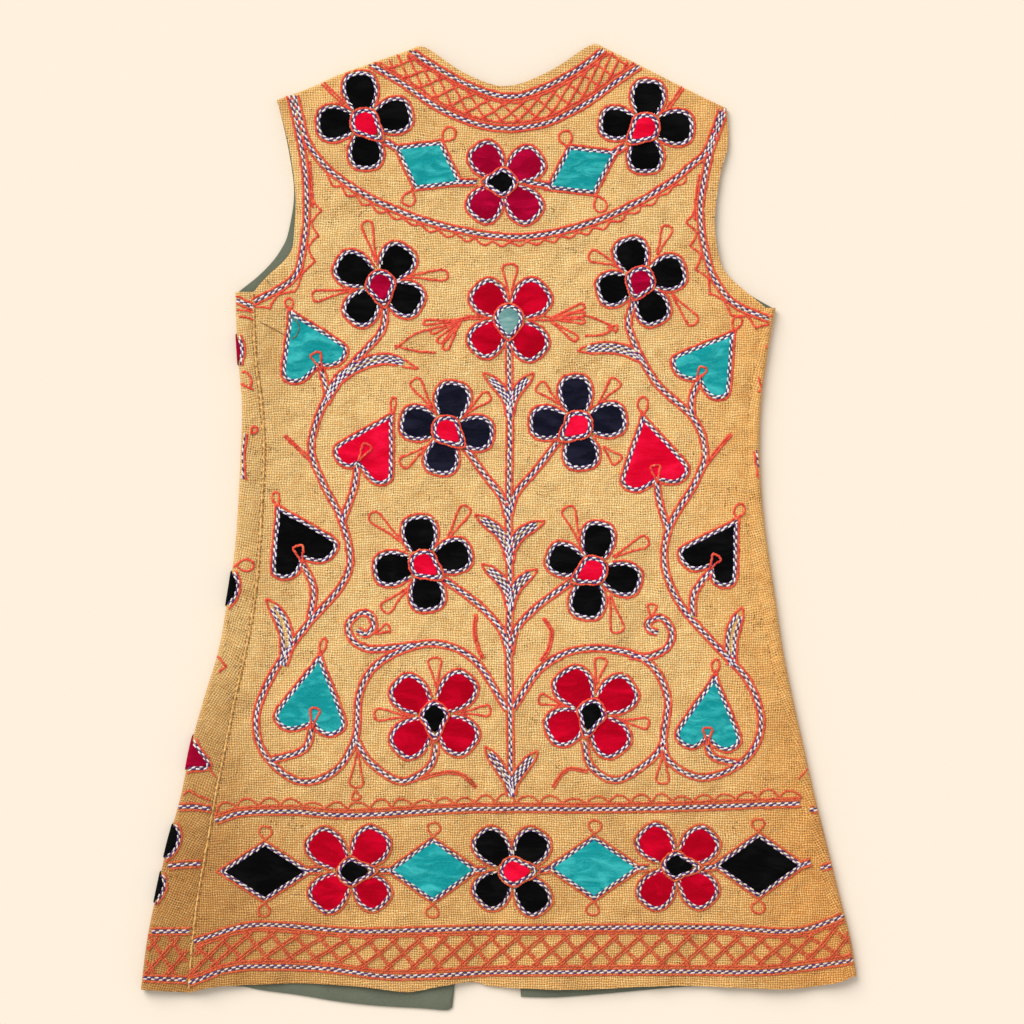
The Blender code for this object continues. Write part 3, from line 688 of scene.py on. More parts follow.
def make_cotton():
    """Plain thin cotton, a little faded in patches."""
    material, tree, shader = new_material("sage cotton", roughness=0.85, sheen_weight=0.15,
                                          specular_ior_level=0.2)
    uv = add_node(tree, "UVMap", uv_map="cloth").outputs[0]
    weave = add_node(tree, "Group", {"Vector": uv, "Threads per Metre": COTTON_PER_METRE,
                                     "Wander": COTTON_WANDER}, node_tree=weave_group)
    tone = maths(tree, "MULTIPLY", weave.outputs["Tone"], 0.45)
    tone = maths(tree, "MULTIPLY_ADD", noise(tree, uv, 45.0, 4.0), 0.55, tone)
    relief = bumped(tree, weave.outputs["Height"], 0.4, 0.0002)
    finish_shader(tree, shader, mixed(tree, tone, COTTON_DARK, COTTON_LIGHT), relief)
    return material


cotton = make_cotton()


def make_lining(hand):
    """Lining of a front, a little rippled and thinner at its rim."""
    plan = floor_plan(hand)[:-2]
    cover = LINING_COVER * (1 - ramp(plan[ROWS_BELOW_ARM:, -1, 1], *LINING_COVER_FADE))
    plan[ROWS_BELOW_ARM:, -1, 0] -= HANDS[hand] * cover
    wave_x, wave_y, wave_height = LINING_RIPPLES
    waves = np.sin(plan[..., 0] / wave_x) * np.sin(plan[..., 1] / wave_y)
    height = LINING_HEIGHT + wave_height * waves
    for k, drop in enumerate(LINING_RIM):
        height[k] -= drop
        height[:, k] -= drop
        height[:, -1 - k] -= 0.5 * drop
    height = np.maximum(height, LINING_HEIGHT - LINING_RIM[0])
    return add_panel("lining_panel_" + hand, np.dstack([plan, height]), plan, cotton, LINING,
                     upwards=hand == "right")


LINING_CUTS = {"left": ((0.295, 0.770), 0.168), "right": ((0.285, 0.760), 0.170)}
for hand, (flat_size, flat_area) in LINING_CUTS.items():
    lining = make_lining(hand)
    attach(lining, "root")
    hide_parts("lining_" + hand)

# Velvet flowers
# Four petals cut in one piece of cotton velvet, with a small velvet centre sewn on. A line of white
# and purple chain stitch holds every edge, and orange chain stitch runs round it.
VELVET_GAP = 0.3
VELVET = 1.0
VELVET_RIM = 0.3
PATCH_RINGS = (1.0, 0.965, 0.92, 0.84, 0.68, 0.5, 0.3, 0.12)
UNDERSIDE_RINGS = (0.12, 0.4, 0.7, 1.0)
CENTRE_FOOT = VELVET_GAP + VELVET + VELVET_GAP

# Half a petal from its foot to its tip, in shares of its reach and of its half width
HALF_PETAL = ((0.27, 0.53), (0.42, 0.80), (0.58, 0.99), (0.71, 1.02), (0.85, 0.93), (0.955, 0.68),
              (0.99, 0.36), (1.0, 0.0))
VELVET_SHARE = 0.985
CENTRE_SIZE = 9.3
CENTRE_REACH = 1.5 * CENTRE_SIZE
CORNERS = {"black": 1.5, "teal": 2.0, "red": 1.75, "crimson": 1.75}
TWO_TONE_RING = 9.9
ORANGE_RING = 12.3

# Centre, turn in degrees, colours of the petals and the centre, where the centre's ring is drawn out
# to, and for each petal its own further turn, its reach and its half width
FLOWERS = (
    ("yoke_flower_left", -110, 332, 8, "black", "red", (-94, 316),
     ((5, 38, 13), (0, 40.5, 12.5), (-7, 38, 13), (-6, 37, 12.5))),
    ("yoke_flower_middle", 3, 283, 43, "crimson", "black", (-16, 283),
     ((-6, 37, 12.5), (-8, 35.5, 12), (9, 35.5, 12.5), (0, 39, 12.5))),
    ("yoke_flower_right", 120, 328, -2, "black", "red", (104, 313.5),
     ((2, 38, 13), (-3, 38, 12.5), (-6, 36.5, 12), (2, 36, 13))),
    ("shoulder_flower_left", -97, 199, 57, "black", "crimson", (-93, 179),
     ((-2, 36.5, 13), (4, 39.5, 13), (-6, 37.5, 12.5), (4, 36.5, 13))),
    ("shoulder_flower_right", 116, 202, 20, "black", "crimson", (110, 185),
     ((-4, 36.5, 13), (-1, 35.5, 12.5), (-4, 35, 12.5), (4, 36.5, 12.5))),
    ("chest_flower", 8, 171, 44, "red", "teal", (8, 152),
     ((-2, 38.5, 13.5), (0, 36.5, 13), (-2, 37.5, 12.5), (-2, 38.5, 13))),
    ("waist_flower_left", -43, 80, -8, "navy", "red", (-27, 65),
     ((2, 37, 12.5), (-3, 38.5, 13), (-5, 37, 12.5), (-2, 35.5, 12.5))),
    ("waist_flower_right", 65, 84, 3, "navy", "red", (48, 70),
     ((7, 38, 12.5), (2, 39.5, 12), (-7, 38.5, 12), (3, 35, 13))),
    ("hip_flower_left", -62, -30, 10, "black", "red", (-44, -43),
     ((5, 39, 12.5), (-3, 38.5, 13), (-2, 39.5, 12.5), (-3, 37.5, 13))),
    ("hip_flower_right", 77, -35, -14, "black", "red", (58, -45),
     ((-2, 39, 12), (5, 38.5, 12), (-6, 38, 12), (4, 39, 13))),
    ("skirt_flower_left", -53, -154, 46, "red", "black", (-52, -177),
     ((1, 42, 13), (3, 40.5, 13), (-2, 41.5, 13.5), (4, 39.5, 14))),
    ("skirt_flower_right", 76, -152, 30, "red", "black", (70, -174),
     ((5, 40, 13.5), (4, 40, 14.5), (-4, 38.5, 13.5), (7, 39, 14))),
    ("hem_flower_left", -121, -282, 47, "red", "black", (-98, -281),
     ((6, 40, 13.5), (0, 43, 13), (-3, 39.5, 13.5), (-2, 37, 12.5))),
    ("hem_flower_middle", 12, -282, 44, "black", "red", (35, -281),
     ((10, 38, 13), (-3, 41, 12.5), (-2, 37, 13.5), (-7, 39.5, 12.5))),
    ("hem_flower_right", 145, -277, 45, "red", "black", (168, -279),
     ((-5, 39, 13), (-3, 38.5, 13), (7, 39.5, 13), (-1, 41, 13))),
)
# Loops between the petals: from, to and width
FLOWER_LOOPS = (
    (-101, 219, -109, 251, 9), (-121, 195, -153, 189, 9), (-78, 206, -42, 207, 9),
    (101, 214, 74, 224, 10), (130, 224, 139, 247, 9), (142, 191, 161, 167, 10),
    (9, 187, 9, 216, 12),
    (-55, 98, -70, 121, 10), (-27, 94, -8, 109, 9), (-60, 66, -80, 51, 10),
    (49, 102, 32, 117, 10), (82, 102, 97, 121, 10), (86, 66, 98, 54, 10),
    (-79, -12, -105, 11, 10), (-43, -11, -26, 17, 10), (-75, -50, -95, -68, 10),
    (66, -12, 56, 17, 11), (94, -24, 122, -10, 10), (91, -56, 98, -86, 11),
    (-51, -130, -53, -107, 11), (-74, -155, -102, -153, 10), (-31, -152, -7, -150, 9),
    (80, -128, 84, -107, 10), (52, -146, 33, -140, 9), (99, -158, 123, -161, 9),
)
SHOULDER_BARS = (((-144, 364), (-127, 347)), ((150, 360), (138, 343)))
BAR_THREADS = (-1.1, 1.1)

# Colour, colour where the nap is crushed, sheen, size of the crushed places in mm, and slot
VELVETS = {
    "black": ((0.0012, 0.0012, 0.0013), (0.0048, 0.0048, 0.0052), 0.010, 14, "velvet_black"),
    "navy": ((0.0042, 0.0044, 0.0109), (0.0140, 0.0140, 0.0300), 0.015, 13, "velvet_navy"),
    "red": ((0.3250, 0.0002, 0.0080), (0.600, 0.0012, 0.0200), 0.015, 18, "velvet_red"),
    "bright_red": ((0.5859, 0.0002, 0.0151), (0.840, 0.0060, 0.0450), 0.030, 18, "velvet_red"),
    "dark_red": ((0.1841, 0.0003, 0.0126), (0.360, 0.0020, 0.0300), 0.020, 16, "velvet_dark_red"),
    "crimson": ((0.2427, 0.0002, 0.0142), (0.460, 0.0020, 0.0400), 0.020, 15, "velvet_crimson"),
    "turquoise": ((0.0009, 0.2325, 0.2465), (0.045, 0.450, 0.450), 0.030, 11, "velvet_turquoise"),
    "teal": ((0.0837, 0.2260, 0.2176), (0.260, 0.430, 0.410), 0.060, 9, "velvet_teal"),
}


def make_velvet(name):
    """Short cotton pile: deep colour, paler streaks where it is crushed, and a sheen at its edges."""
    colour, crushed, sheen, patch_size, _ = VELVETS[name]
    material, tree, shader = new_material("velvet " + name, roughness=0.95, sheen_weight=sheen,
                                          sheen_roughness=0.35, specular_ior_level=0.03)
    place = add_node(tree, "TexCoord").outputs["Object"]
    brushed = add_node(tree, "Mapping", {"Vector": place, "Rotation": (0, 0, 0.5),
                                         "Scale": (0.55, 1.4, 1.0)}).outputs[0]
    streaks = noise(tree, brushed, 1000.0 / patch_size, 5.0, Roughness=0.6, Distortion=0.6)
    grain = ranged(tree, noise(tree, place, 1400.0), 0.3, 0.7, 0.0, 0.3)
    nap = maths(tree, "ADD", ranged(tree, streaks, 0.40, 0.75), grain)
    pile = mixed(tree, nap, (*colour, 1.0), (*crushed, 1.0))
    finish_shader(tree, shader, pile, bumped(tree, streaks, 0.5, 0.004))
    return material


velvet_materials = {name: make_velvet(name) for name in VELVETS}


def placed(points, x, y, degrees):
    """Points turned about their origin and moved to x, y."""
    c, s = math.cos(math.radians(degrees)), math.sin(math.radians(degrees))
    points = np.asarray(points, float)
    return np.stack([x + c * points[:, 0] - s * points[:, 1], y + s * points[:, 0] + c * points[:, 1]],
                    axis=1)


def curve(points):
    """Smooth path through points, about a point for each mm."""
    rough = lengths_along(np.array(points, float))[-1]
    return smooth(points, even(max(int(rough), 4)))


def polyline(points, closed=False):
    """Straight runs between points, about a point for each mm."""
    points = np.array(points, float)
    if closed:
        points = np.vstack([points, points[:1]])
    travel = lengths_along(points)
    path = points_at(points, np.unique(np.concatenate([travel, np.arange(0, travel[-1], 1.0)])))
    return path[:-1] if closed else path


def offset_path(path, distance, closed=False):
    """Path moved to its left by a distance, or by one for each point, with its corners kept."""
    path = np.asarray(path, float)
    if closed:
        before, after = np.roll(path, 1, axis=0), np.roll(path, -1, axis=0)
    else:
        before, after = extended(path)[:-2], extended(path)[2:]
    normals = []
    for step in (path - before, after - path):
        length = np.maximum(np.linalg.norm(step, axis=1, keepdims=True), 1e-6)
        normals.append(np.stack([-step[:, 1], step[:, 0]], axis=1) / length)
    middle = normals[0] + normals[1]
    middle /= np.maximum(np.linalg.norm(middle, axis=1, keepdims=True), 1e-6)
    cosine = np.maximum((middle * normals[0]).sum(axis=1, keepdims=True), 0.45)
    return path + middle * np.reshape(distance, (-1, 1)) / cosine


def petal_path(x, y, degrees, reach, half_width):
    """Edge of one petal from one side of its foot round its tip to the other."""
    half = np.array(HALF_PETAL) * (reach, half_width)
    return placed(curve(np.vstack([half * (1, -1), half[-2::-1]])), x, y, degrees)


def ring_path(x, y, size, corners, point, reach):
    """Ring round a flower's centre, a little square, drawn out towards a point as far as reach."""
    angles = np.linspace(-math.pi, math.pi, 96, endpoint=False)
    spread = np.abs(np.cos(angles)) ** corners + np.abs(np.sin(angles)) ** corners
    radii = size / spread ** (1 / corners)
    radii += (reach - size) * np.clip(1 - np.abs(angles) / 0.85, 0, 1) ** 1.5
    toward = math.degrees(math.atan2(point[1] - y, point[0] - x))
    ring = np.stack([radii * np.cos(angles), radii * np.sin(angles)], axis=1)
    return placed(ring, x, y, toward)


def add_velvet(node, points, faces, colour):
    """Piece of velvet in its place on the cloth that carries it."""
    patch = add_object("velvet_" + node, points, faces, velvet_materials[colour])
    patch.data.shade_smooth()
    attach(patch, "root")
    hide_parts(node)


def add_patch(node, outline, middle, foot, colour):
    """Velvet patch: a thin cushioned shell, turned under at its rim and sewn on the cloth."""
    rings = []
    for face_up in (False, True):
        for share in PATCH_RINGS if face_up else UNDERSIDE_RINGS:
            plan = middle + (outline - middle) * share
            crown = 1 - share ** 14
            lift = foot + (VELVET_RIM + (VELVET - VELVET_RIM) * crown if face_up else 0.0)
            rings.append(np.column_stack([plan, cloth_height(plan[:, 0], plan[:, 1]) + lift]))
    index = np.arange(len(rings) * len(outline)).reshape(len(rings), -1)
    after = np.roll(index, -1, axis=1)
    walls = np.stack([index[:-1], after[:-1], after[1:], index[1:]], axis=-1)
    faces = walls.reshape(-1, 4).tolist() + [index[0, ::-1].tolist(), index[-1].tolist()]
    add_velvet(node, rings, faces, colour)


# Stitch of each thread: length, width and height in mm
STITCHES = {
    "orange": (4.4, 2.0, 1.35),
    "white": (4.2, 1.55, 1.35),
    "purple": (3.9, 1.45, 1.25),
    "brown": (3.2, 0.6, 0.5),
    "jute": (6.0, 1.9, 1.3),
}
CHAIN_PITCH = 2.7
CHAIN_SLANT = 11
TWO_TONE_PITCH = 6.2
TWO_TONE_SIDE = 0.76
TWO_TONE_SLANT = 9
BORDER_OFFSET = 2.7
# How uneven the stitches are: heading in radians, place in mm and share of the size
HEADING_SPREAD = 0.08
PLACE_SPREAD = 0.15
SIZE_SPREAD = 0.08
# Reach over which a row's heading is read, where stitches end inside the garment, a place past all
HEADING_STEP = 0.8
EDGE_INWARD = -1.7
FAR = 1000.0
# Heights of the rows above what they lie on
ON_CLOTH = 0.35
ON_VELVET_RIM = 0.85
ON_VELVET = 1.55
ON_CENTRE_RIM = 2.3
THREADS = {
    "orange": ((0.760, 0.062, 0.036), (0.880, 0.180, 0.070), (0.440, 0.014, 0.012), "thread_orange"),
    "white": ((0.830, 0.800, 0.770), (0.920, 0.900, 0.870), (0.500, 0.460, 0.470), "thread_white"),
    "purple": ((0.072, 0.024, 0.165), (0.140, 0.065, 0.260), (0.030, 0.008, 0.075), "thread_purple"),
    "brown": ((0.260, 0.115, 0.032), (0.380, 0.190, 0.060), (0.110, 0.042, 0.014), "hessian"),
    "jute": ((0.760, 0.430, 0.130), (0.930, 0.610, 0.230), (0.420, 0.190, 0.045), "hessian"),
}
HEM_SHADE_ORANGE = (0.300, 0.020, 0.006, 1.0)
FLECK_AND_HIGHLIGHT_COLOUR = (0.85, 0.34, 0.075, 1.0)
HEM_SHADE_WHITE = (0.640, 0.450, 0.300, 1.0)
chance = np.random.default_rng(11)
sewn = []


def make_thread(name):
    """Stranded cotton, brighter and darker along a row; low down orange and white darken in painted
    shade, and orange has more yellow flecks, partly painted highlight.
    """
    colour, bright, dark = ((*shade, 1.0) for shade in THREADS[name][:3])
    material, tree, shader = new_material("thread " + name, roughness=0.65, sheen_weight=0.08,
                                          specular_ior_level=0.25)
    place = add_node(tree, "TexCoord").outputs["Object"]
    strand, fibre = noise(tree, place, 300.0), noise(tree, place, 1900.0)
    shade = mixed(tree, ranged(tree, strand, 0.52, 0.74), colour, bright)
    shade = mixed(tree, ranged(tree, strand, 0.50, 0.32, 0.0, 0.7), shade, dark)
    shade = mixed(tree, ranged(tree, fibre, 0.55, 0.75, 0.0, 0.5), shade, dark)
    up = add_node(tree, "SeparateXYZ", {0: place}).outputs[1]
    if name == "orange":
        # Painted shade: low down the orange darkens.
        low = ranged(tree, up, -0.15, -0.24)
        shade = mixed(tree, maths(tree, "MULTIPLY", low, 0.42), shade, HEM_SHADE_ORANGE)
        # Yellow flecks, more of them low down, where they also stand in for painted highlights.
        fleck_and_highlight_share = maths(tree, "MULTIPLY_ADD", low, 0.65, 0.12)
        fleck = ranged(tree, fibre, 0.48, 0.38)
        shade = mixed(tree, maths(tree, "MULTIPLY", fleck_and_highlight_share, fleck), shade, FLECK_AND_HIGHLIGHT_COLOUR)
    if name == "white":
        # Painted shade: low down the white darkens and warms.
        shade = mixed(tree, ranged(tree, up, -0.15, -0.30, 0.0, 0.45), shade, HEM_SHADE_WHITE)
    finish_shader(tree, shader, shade, bumped(tree, fibre, 0.4, 0.0003))
    return material


thread_materials = {name: make_thread(name) for name in THREADS}


def visible_outline():
    """Outline of the laid garment, a little inside its edges, which no stitch may cross."""
    parts = []
    for hand in HANDS:
        run = np.vstack([side_line(hand + "_fold", 0.0), smooth(BACK_ARMHOLE[hand], even(60)),
                         smooth(SHOULDER[hand], even(40))[1:]])
        parts.append(run if hand == "left" else run[::-1])
    neck = smooth(BACK_NECK, even(60))[1:-1]
    hem = smooth(BACK_HEM, even(60))[::-1]
    return offset_path(np.vstack([parts[0], neck, parts[1], hem]), EDGE_INWARD, closed=True)


EDGE = visible_outline()


def on_garment(places):
    """Whether each place lies inside the garment's outline."""
    x, y = places[:, 0:1], places[:, 1:2]
    x0, y0 = EDGE[:, 0], EDGE[:, 1]
    x1, y1 = np.roll(x0, -1), np.roll(y0, -1)
    crosses = (y0 > y) != (y1 > y)
    meets = x0 + (y - y0) * (x1 - x0) / np.where(y1 == y0, 1.0, y1 - y0)
    return (crosses & (x < meets)).sum(axis=1) % 2 == 1


def surface_height(x, y):
    """Height of the cloth as seen from above, also where a strip rolls over its side fold."""
    height = cloth_height(x, y)
    for hand, sign in HANDS.items():
        above_fold = y > END_HEIGHTS[hand + "_fold"][1]
        inward = sign * from_side(hand + "_fold", x, y) + above_fold * FAR
        t = np.clip(1 - inward / FOLD_RADIUS, 0, 1)
        height = height - FOLD_RADIUS * (1 - np.sqrt(1 - t * t))
    return height


def stitch_template():
    """Rounded stitch of length, width and height 1, along X."""
    bm = bmesh.new()
    bmesh.ops.create_uvsphere(bm, u_segments=6, v_segments=3, radius=0.5)
    bmesh.ops.triangulate(bm, faces=bm.faces[:])
    points = np.array([(v.co.z, v.co.y, v.co.x) for v in bm.verts])
    faces = np.array([[v.index for v in face.verts][::-1] for face in bm.faces])
    bm.free()
    return points, faces


TEMPLATE_POINTS, TEMPLATE_FACES = stitch_template()


def sew(thread, path, lift=ON_CLOTH, closed=False, pitch=CHAIN_PITCH, phase=0.0, slant=CHAIN_SLANT,
        size=1.0, over=False, aside=0.0):
    """Row of stitches along or beside a path, a little uneven; over means it crosses other rows."""
    path = np.asarray(path, float)
    if closed:
        path = np.vstack([path, path[:1]])
    travel = lengths_along(path)
    count = max(int(round(travel[-1] / pitch)), 1)
    along = (np.arange(count) + 0.25 + phase) / count * travel[-1]
    along = along % travel[-1] if closed else np.minimum(along, travel[-1])
    before, after = [points_at(path, np.clip(along + step, 0, travel[-1]))
                     for step in (-HEADING_STEP, HEADING_STEP)]
    places = points_at(path, along)
    heading = np.arctan2(after[:, 1] - before[:, 1], after[:, 0] - before[:, 0])
    places += aside * np.stack([-np.sin(heading), np.cos(heading)], axis=1)
    heading += math.radians(slant) + chance.normal(0, HEADING_SPREAD, count)
    places += chance.normal(0, PLACE_SPREAD, (count, 2))
    sizes = np.array(STITCHES[thread]) * size * chance.normal(1, SIZE_SPREAD, (count, 1))
    height = surface_height(places[:, 0], places[:, 1]) + np.broadcast_to(lift, count)
    row = np.column_stack([places, height, heading, sizes, np.full(count, float(over))])
    sewn.append((thread, row[on_garment(places)]))


needlework = []


def end_of_group(name):
    """Keeps the rows sewn so far together, to be joined under one name."""
    for thread in THREADS:
        rows = [row for sewn_thread, row in sewn if sewn_thread == thread and len(row)]
        if rows:
            needlework.append((name, thread, np.vstack(rows)))
    sewn.clear()


def two_tone(path, lift=ON_CLOTH, closed=False):
    """Twin rows of chain stitch in white and purple by turns."""
    for row, aside in enumerate((TWO_TONE_SIDE, -TWO_TONE_SIDE)):
        for thread, half in (("white", 0.0), ("purple", 0.5)):
            sew(thread, path, lift, closed, TWO_TONE_PITCH, phase=(half + 0.5 * row) % 1 - 0.25,
                slant=TWO_TONE_SLANT, aside=aside)


def orange_rows(path, offsets, lift=ON_CLOTH, size=1.0):
    """Orange rows beside a path, at their distances to its left."""
    for offset in offsets:
        sew("orange", offset_path(path, offset), lift, size=size)


def stem(path, lift=ON_CLOTH):
    """Two-tone line with an orange line on each side."""
    two_tone(path, lift)
    orange_rows(path, (BORDER_OFFSET, -BORDER_OFFSET), lift)


# Half of a loop from its start to its end, in shares of its length and width: long, and round
LONG_LOOP = ((0, 0.06), (0.35, 0.19), (0.72, 0.43), (0.88, 0.50), (0.97, 0.36), (1.0, 0.12))
ROUND_LOOP = ((0, -0.08), (0.18, 0.14), (0.40, 0.42), (0.64, 0.52), (0.86, 0.42), (0.98, 0.16))


def sew_loops(table, half=LONG_LOOP, lift=ON_CLOTH, size=1.05):
    """Loops of orange chain stitch, each from a place to another and with its width."""
    for x0, y0, x1, y1, width in table:
        length = math.hypot(x1 - x0, y1 - y0)
        points = [(u * length, v * width) for u, v in half]
        points += [(u * length, -v * width) for u, v in half[::-1]]
        turn = math.degrees(math.atan2(y1 - y0, x1 - x0))
        sew("orange", placed(curve(points), x0, y0, turn), lift, size=size, over=True)


for name, x, y, turn, petals, centre, point, edges in FLOWERS:
    middle = np.array((x, y), float)
    paths = [petal_path(x, y, turn + 90 * k + more, reach, half_width)
             for k, (more, reach, half_width) in enumerate(edges)]
    add_patch(name, middle + (np.vstack(paths)[::2] - middle) * VELVET_SHARE, middle, VELVET_GAP, petals)
    for path in paths:
        two_tone(path, ON_VELVET_RIM)
        sew("orange", offset_path(path, -BORDER_OFFSET)[3:-3])
    corners = CORNERS[centre]
    distance = math.hypot(point[0] - x, point[1] - y)
    outline = ring_path(x, y, CENTRE_SIZE, corners, point, CENTRE_REACH)[::2]
    add_patch(name + "_centre", outline, middle, CENTRE_FOOT,
              "bright_red" if centre == "red" else centre)
    two_tone(ring_path(x, y, TWO_TONE_RING, corners, point, distance - 5), ON_CENTRE_RIM,
             closed=True)
    sew("orange", ring_path(x, y, ORANGE_RING, corners, point, distance - 1), ON_VELVET + 0.2,
        closed=True, over=True)
end_of_group("flower_edging")
sew_loops(FLOWER_LOOPS)
for ends in SHOULDER_BARS:
    orange_rows(polyline(ends), BAR_THREADS)
end_of_group("flower_loops")

# Velvet hearts
# Leaves of velvet shaped as hearts, each with its tip outwards and its notch on a stem. An orange
# loop stands on the tip and a small one lies in the notch.
HALF_HEART = ((0.0, 0.0), (0.15, 0.17), (0.3, 0.37), (0.6, 0.75), (0.79, 0.97), (0.87, 1.0),
              (0.95, 0.88), (1.0, 0.64), (0.975, 0.36))
HEART_BULGE = 0.66
# Tip, direction of the axis in degrees, length, half width to the right and to the left of the axis,
# and the notch along and across the axis
HEARTS = (
    ("shoulder_heart_left", -170.5, 176, 295, 53, 26.2, 27.3, 47, 3, "turquoise"),
    ("shoulder_heart_right", 191.2, 158.5, 236, 51, 27.4, 23, 44.5, -2, "turquoise"),
    ("waist_heart_left", -88.5, 91, 240.5, 52.5, 25.5, 23.5, 45, -6, "bright_red"),
    ("waist_heart_right", 118.3, 89.6, 282, 56, 26.5, 26, 50.5, 1, "bright_red"),
    ("hip_heart_left", -180.5, 15.5, 296, 53.5, 25.5, 29, 43.5, 0, "black"),
    ("hip_heart_right", 194.2, 4.5, 240, 50.5, 26.6, 22, 40, 0, "black"),
    ("skirt_heart_left", -147.1, -107.3, 262, 60, 28, 26.5, 52, 2.5, "turquoise"),
    ("skirt_heart_right", 176.9, -123.5, 264.5, 57, 25.5, 24, 48, -2, "turquoise"),
)
TIP_LOOPS = ((-171, 177, -173, 188, 6), (192, 160, 197, 173, 7), (-88, 92, -86, 107, 4),
             (118, 91, 118, 107, 8), (-181, 16, -184, 29, 5.5), (194, 6, 199, 19, 8),
             (-147, -106, -143, -91, 5), (177, -122, 178, -108, 6))
NOTCH_LOOPS = ((-145, 129, -151, 143, 8.5), (162, 120, 168, 131, 7), (-115, 55, -107, 68, 8),
               (130, 37, 128, 51, 8), (-161, -29, -165, -15, 8.5), (173, -34, 179, -23, 8),
               (-154, -165, -150, -148, 8), (171, -178, 171, -164, 7.5))


def heart_path(x, y, turn, length, right, left, notch_along, notch_across):
    """Edge of a heart round from its tip, with its two halves of their own widths."""
    half = np.array(HALF_HEART)
    one = curve(np.vstack([half * (length, -right), [(notch_along, notch_across)]]))
    other = curve(np.vstack([half * (length, left), [(notch_along, notch_across)]]))[::-1]
    return placed(np.vstack([one, other[1:-1]]), x, y, turn)


for name, x, y, turn, length, right, left, along, across, colour in HEARTS:
    path = heart_path(x, y, turn, length, right, left, along, across)
    middle = placed([(HEART_BULGE * length, 0.4 * across)], x, y, turn)[0]
    add_patch(name, middle + (path[::2] - middle) * VELVET_SHARE, middle, VELVET_GAP, colour)
    two_tone(path, ON_VELVET_RIM, closed=True)
    sew("orange", offset_path(path, -BORDER_OFFSET, closed=True), closed=True)
sew_loops(TIP_LOOPS, ROUND_LOOP)
sew_loops(NOTCH_LOOPS, LONG_LOOP, ON_VELVET + 0.1)
end_of_group("heart_edging")

# Velvet diamonds
# Two slanting ones hang between the flowers of the yoke, and four lie in a row with the flowers
# above the hem, all joined by two-tone lines and tipped with small loops.
DIAMOND_TWO_TONE = -0.4
DIAMOND_OUTLINE = -3.1
# Middle, half width and half height, turn in degrees and colour
DIAMONDS = (
    ("yoke_diamond_left", -58, 297, 28, 20, -29, "turquoise"),
    ("yoke_diamond_right", 68, 293, 29, 20, 28, "turquoise"),
    ("hem_diamond_1", -192, -282, 34, 22, 0, "black"),
    ("hem_diamond_2", -54, -281, 34, 24, 0, "turquoise"),
    ("hem_diamond_3", 78, -279, 35, 24, 0, "turquoise"),
    ("hem_diamond_4", 213, -277, 34, 24, 0, "black"),
)
DIAMOND_LOOPS = (
    (-47, 316, -37, 327, 10), (-71, 277, -76, 264, 10), (57, 311, 53, 325, 10),
    (80, 273, 85, 259, 10), (-192, -257, -191, -245, 10), (-192, -307, -193, -319, 9),
    (-54, -254, -53, -242, 10), (-54, -308, -55, -320, 10), (78, -252, 79, -240, 10),
    (78, -306, 76, -318, 10), (213, -250, 212, -239, 10), (213, -304, 212, -316, 10),
)
DIAMOND_LINKS = (
    ((-92, 316), (-84, 311)), ((-34, 283), (-17, 283)), ((24, 283), (42, 280)),
    ((93, 307), (104, 313.5)), ((-157, -281), (-144, -281)), ((-98, -281), (-88, -281)),
    ((-20, -281), (-10, -281)), ((35, -281), (43, -280)), ((112, -279), (123, -279)),
    ((168, -279), (179, -278)), ((247, -277), (256, -274)),
)
for name, x, y, half_width, half_height, turn, colour in DIAMONDS:
    corners = placed([(half_width, 0), (0, half_height), (-half_width, 0), (0, -half_height)],
                     x, y, turn)
    outline = polyline(corners, closed=True)
    add_patch(name, outline, np.array((x, y)), VELVET_GAP, colour)
    two_tone(offset_path(outline, DIAMOND_TWO_TONE, closed=True), ON_VELVET_RIM, closed=True)
    sew("orange", offset_path(outline, DIAMOND_OUTLINE, closed=True), closed=True)
for ends in DIAMOND_LINKS:
    stem(polyline(ends), ON_VELVET_RIM)
sew_loops(DIAMOND_LOOPS, ROUND_LOOP)
end_of_group("diamond_edging")

# Vines
# Two tall vines climb from the centre stem to the shoulder flowers, one on each side, and carry the
# hearts. They are two-tone chain stitch between orange lines, with fuller leaves and curled ends.
VINES = (
    ((-93, 179), (-97, 160), (-121, 133), (-142, 105), (-154, 67), (-145, 38), (-129, 6), (-122, -27),
     (-131, -50), (-159, -82), (-185, -119), (-199, -155), (-192, -186), (-164, -208), (-135, -200),
     (-118, -173), (-114, -135), (-97, -110), (-57, -95), (-21, -108), (7, -150)),
    ((110, 185), (107, 162), (128, 120), (159, 90), (169, 62), (161, 37), (140, 1), (136, -32),
     (150, -65), (180, -99), (205, -127), (215, -162), (201, -191), (168, -205), (141, -193),
     (135, -173), (138, -138), (119, -108), (73, -99), (36, -114), (11, -149)),
    ((-118, -173), (-105, -193), (-80, -208), (-57, -196), (-51, -177)),
    ((135, -175), (126, -189), (97, -207), (75, -195), (70, -174)),
    ((-115, -85), (-109, -87.5), (-103.5, -83), (-103, -77), (-106, -71.5), (-112.5, -70),
     (-119.5, -74), (-123.5, -80), (-122.5, -88), (-117.5, -94.5), (-108.5, -99), (-97, -99.5),
     (-82, -98), (-68, -96)),
    ((129, -86), (124, -84), (122, -79), (126, -75), (133, -74), (139, -79), (142, -88), (139, -97),
     (131, -103), (120, -106), (106, -105)),
)
HEART_STEMS = (
    ((-146, 131), (-143, 120), (-139, 104)), ((-116, 53), (-119, 32), (-129, 4)),
    ((-161, -30), (-152, -50), (-155, -76)), ((-153, -163), (-160, -182), (-188, -191)),
    ((164, 121), (158, 106), (158, 92)), ((129, 39), (132, 20), (139, -3)),
    ((173, -36), (160, -54), (159, -74)), ((170, -176), (176, -188), (199, -194)),
)
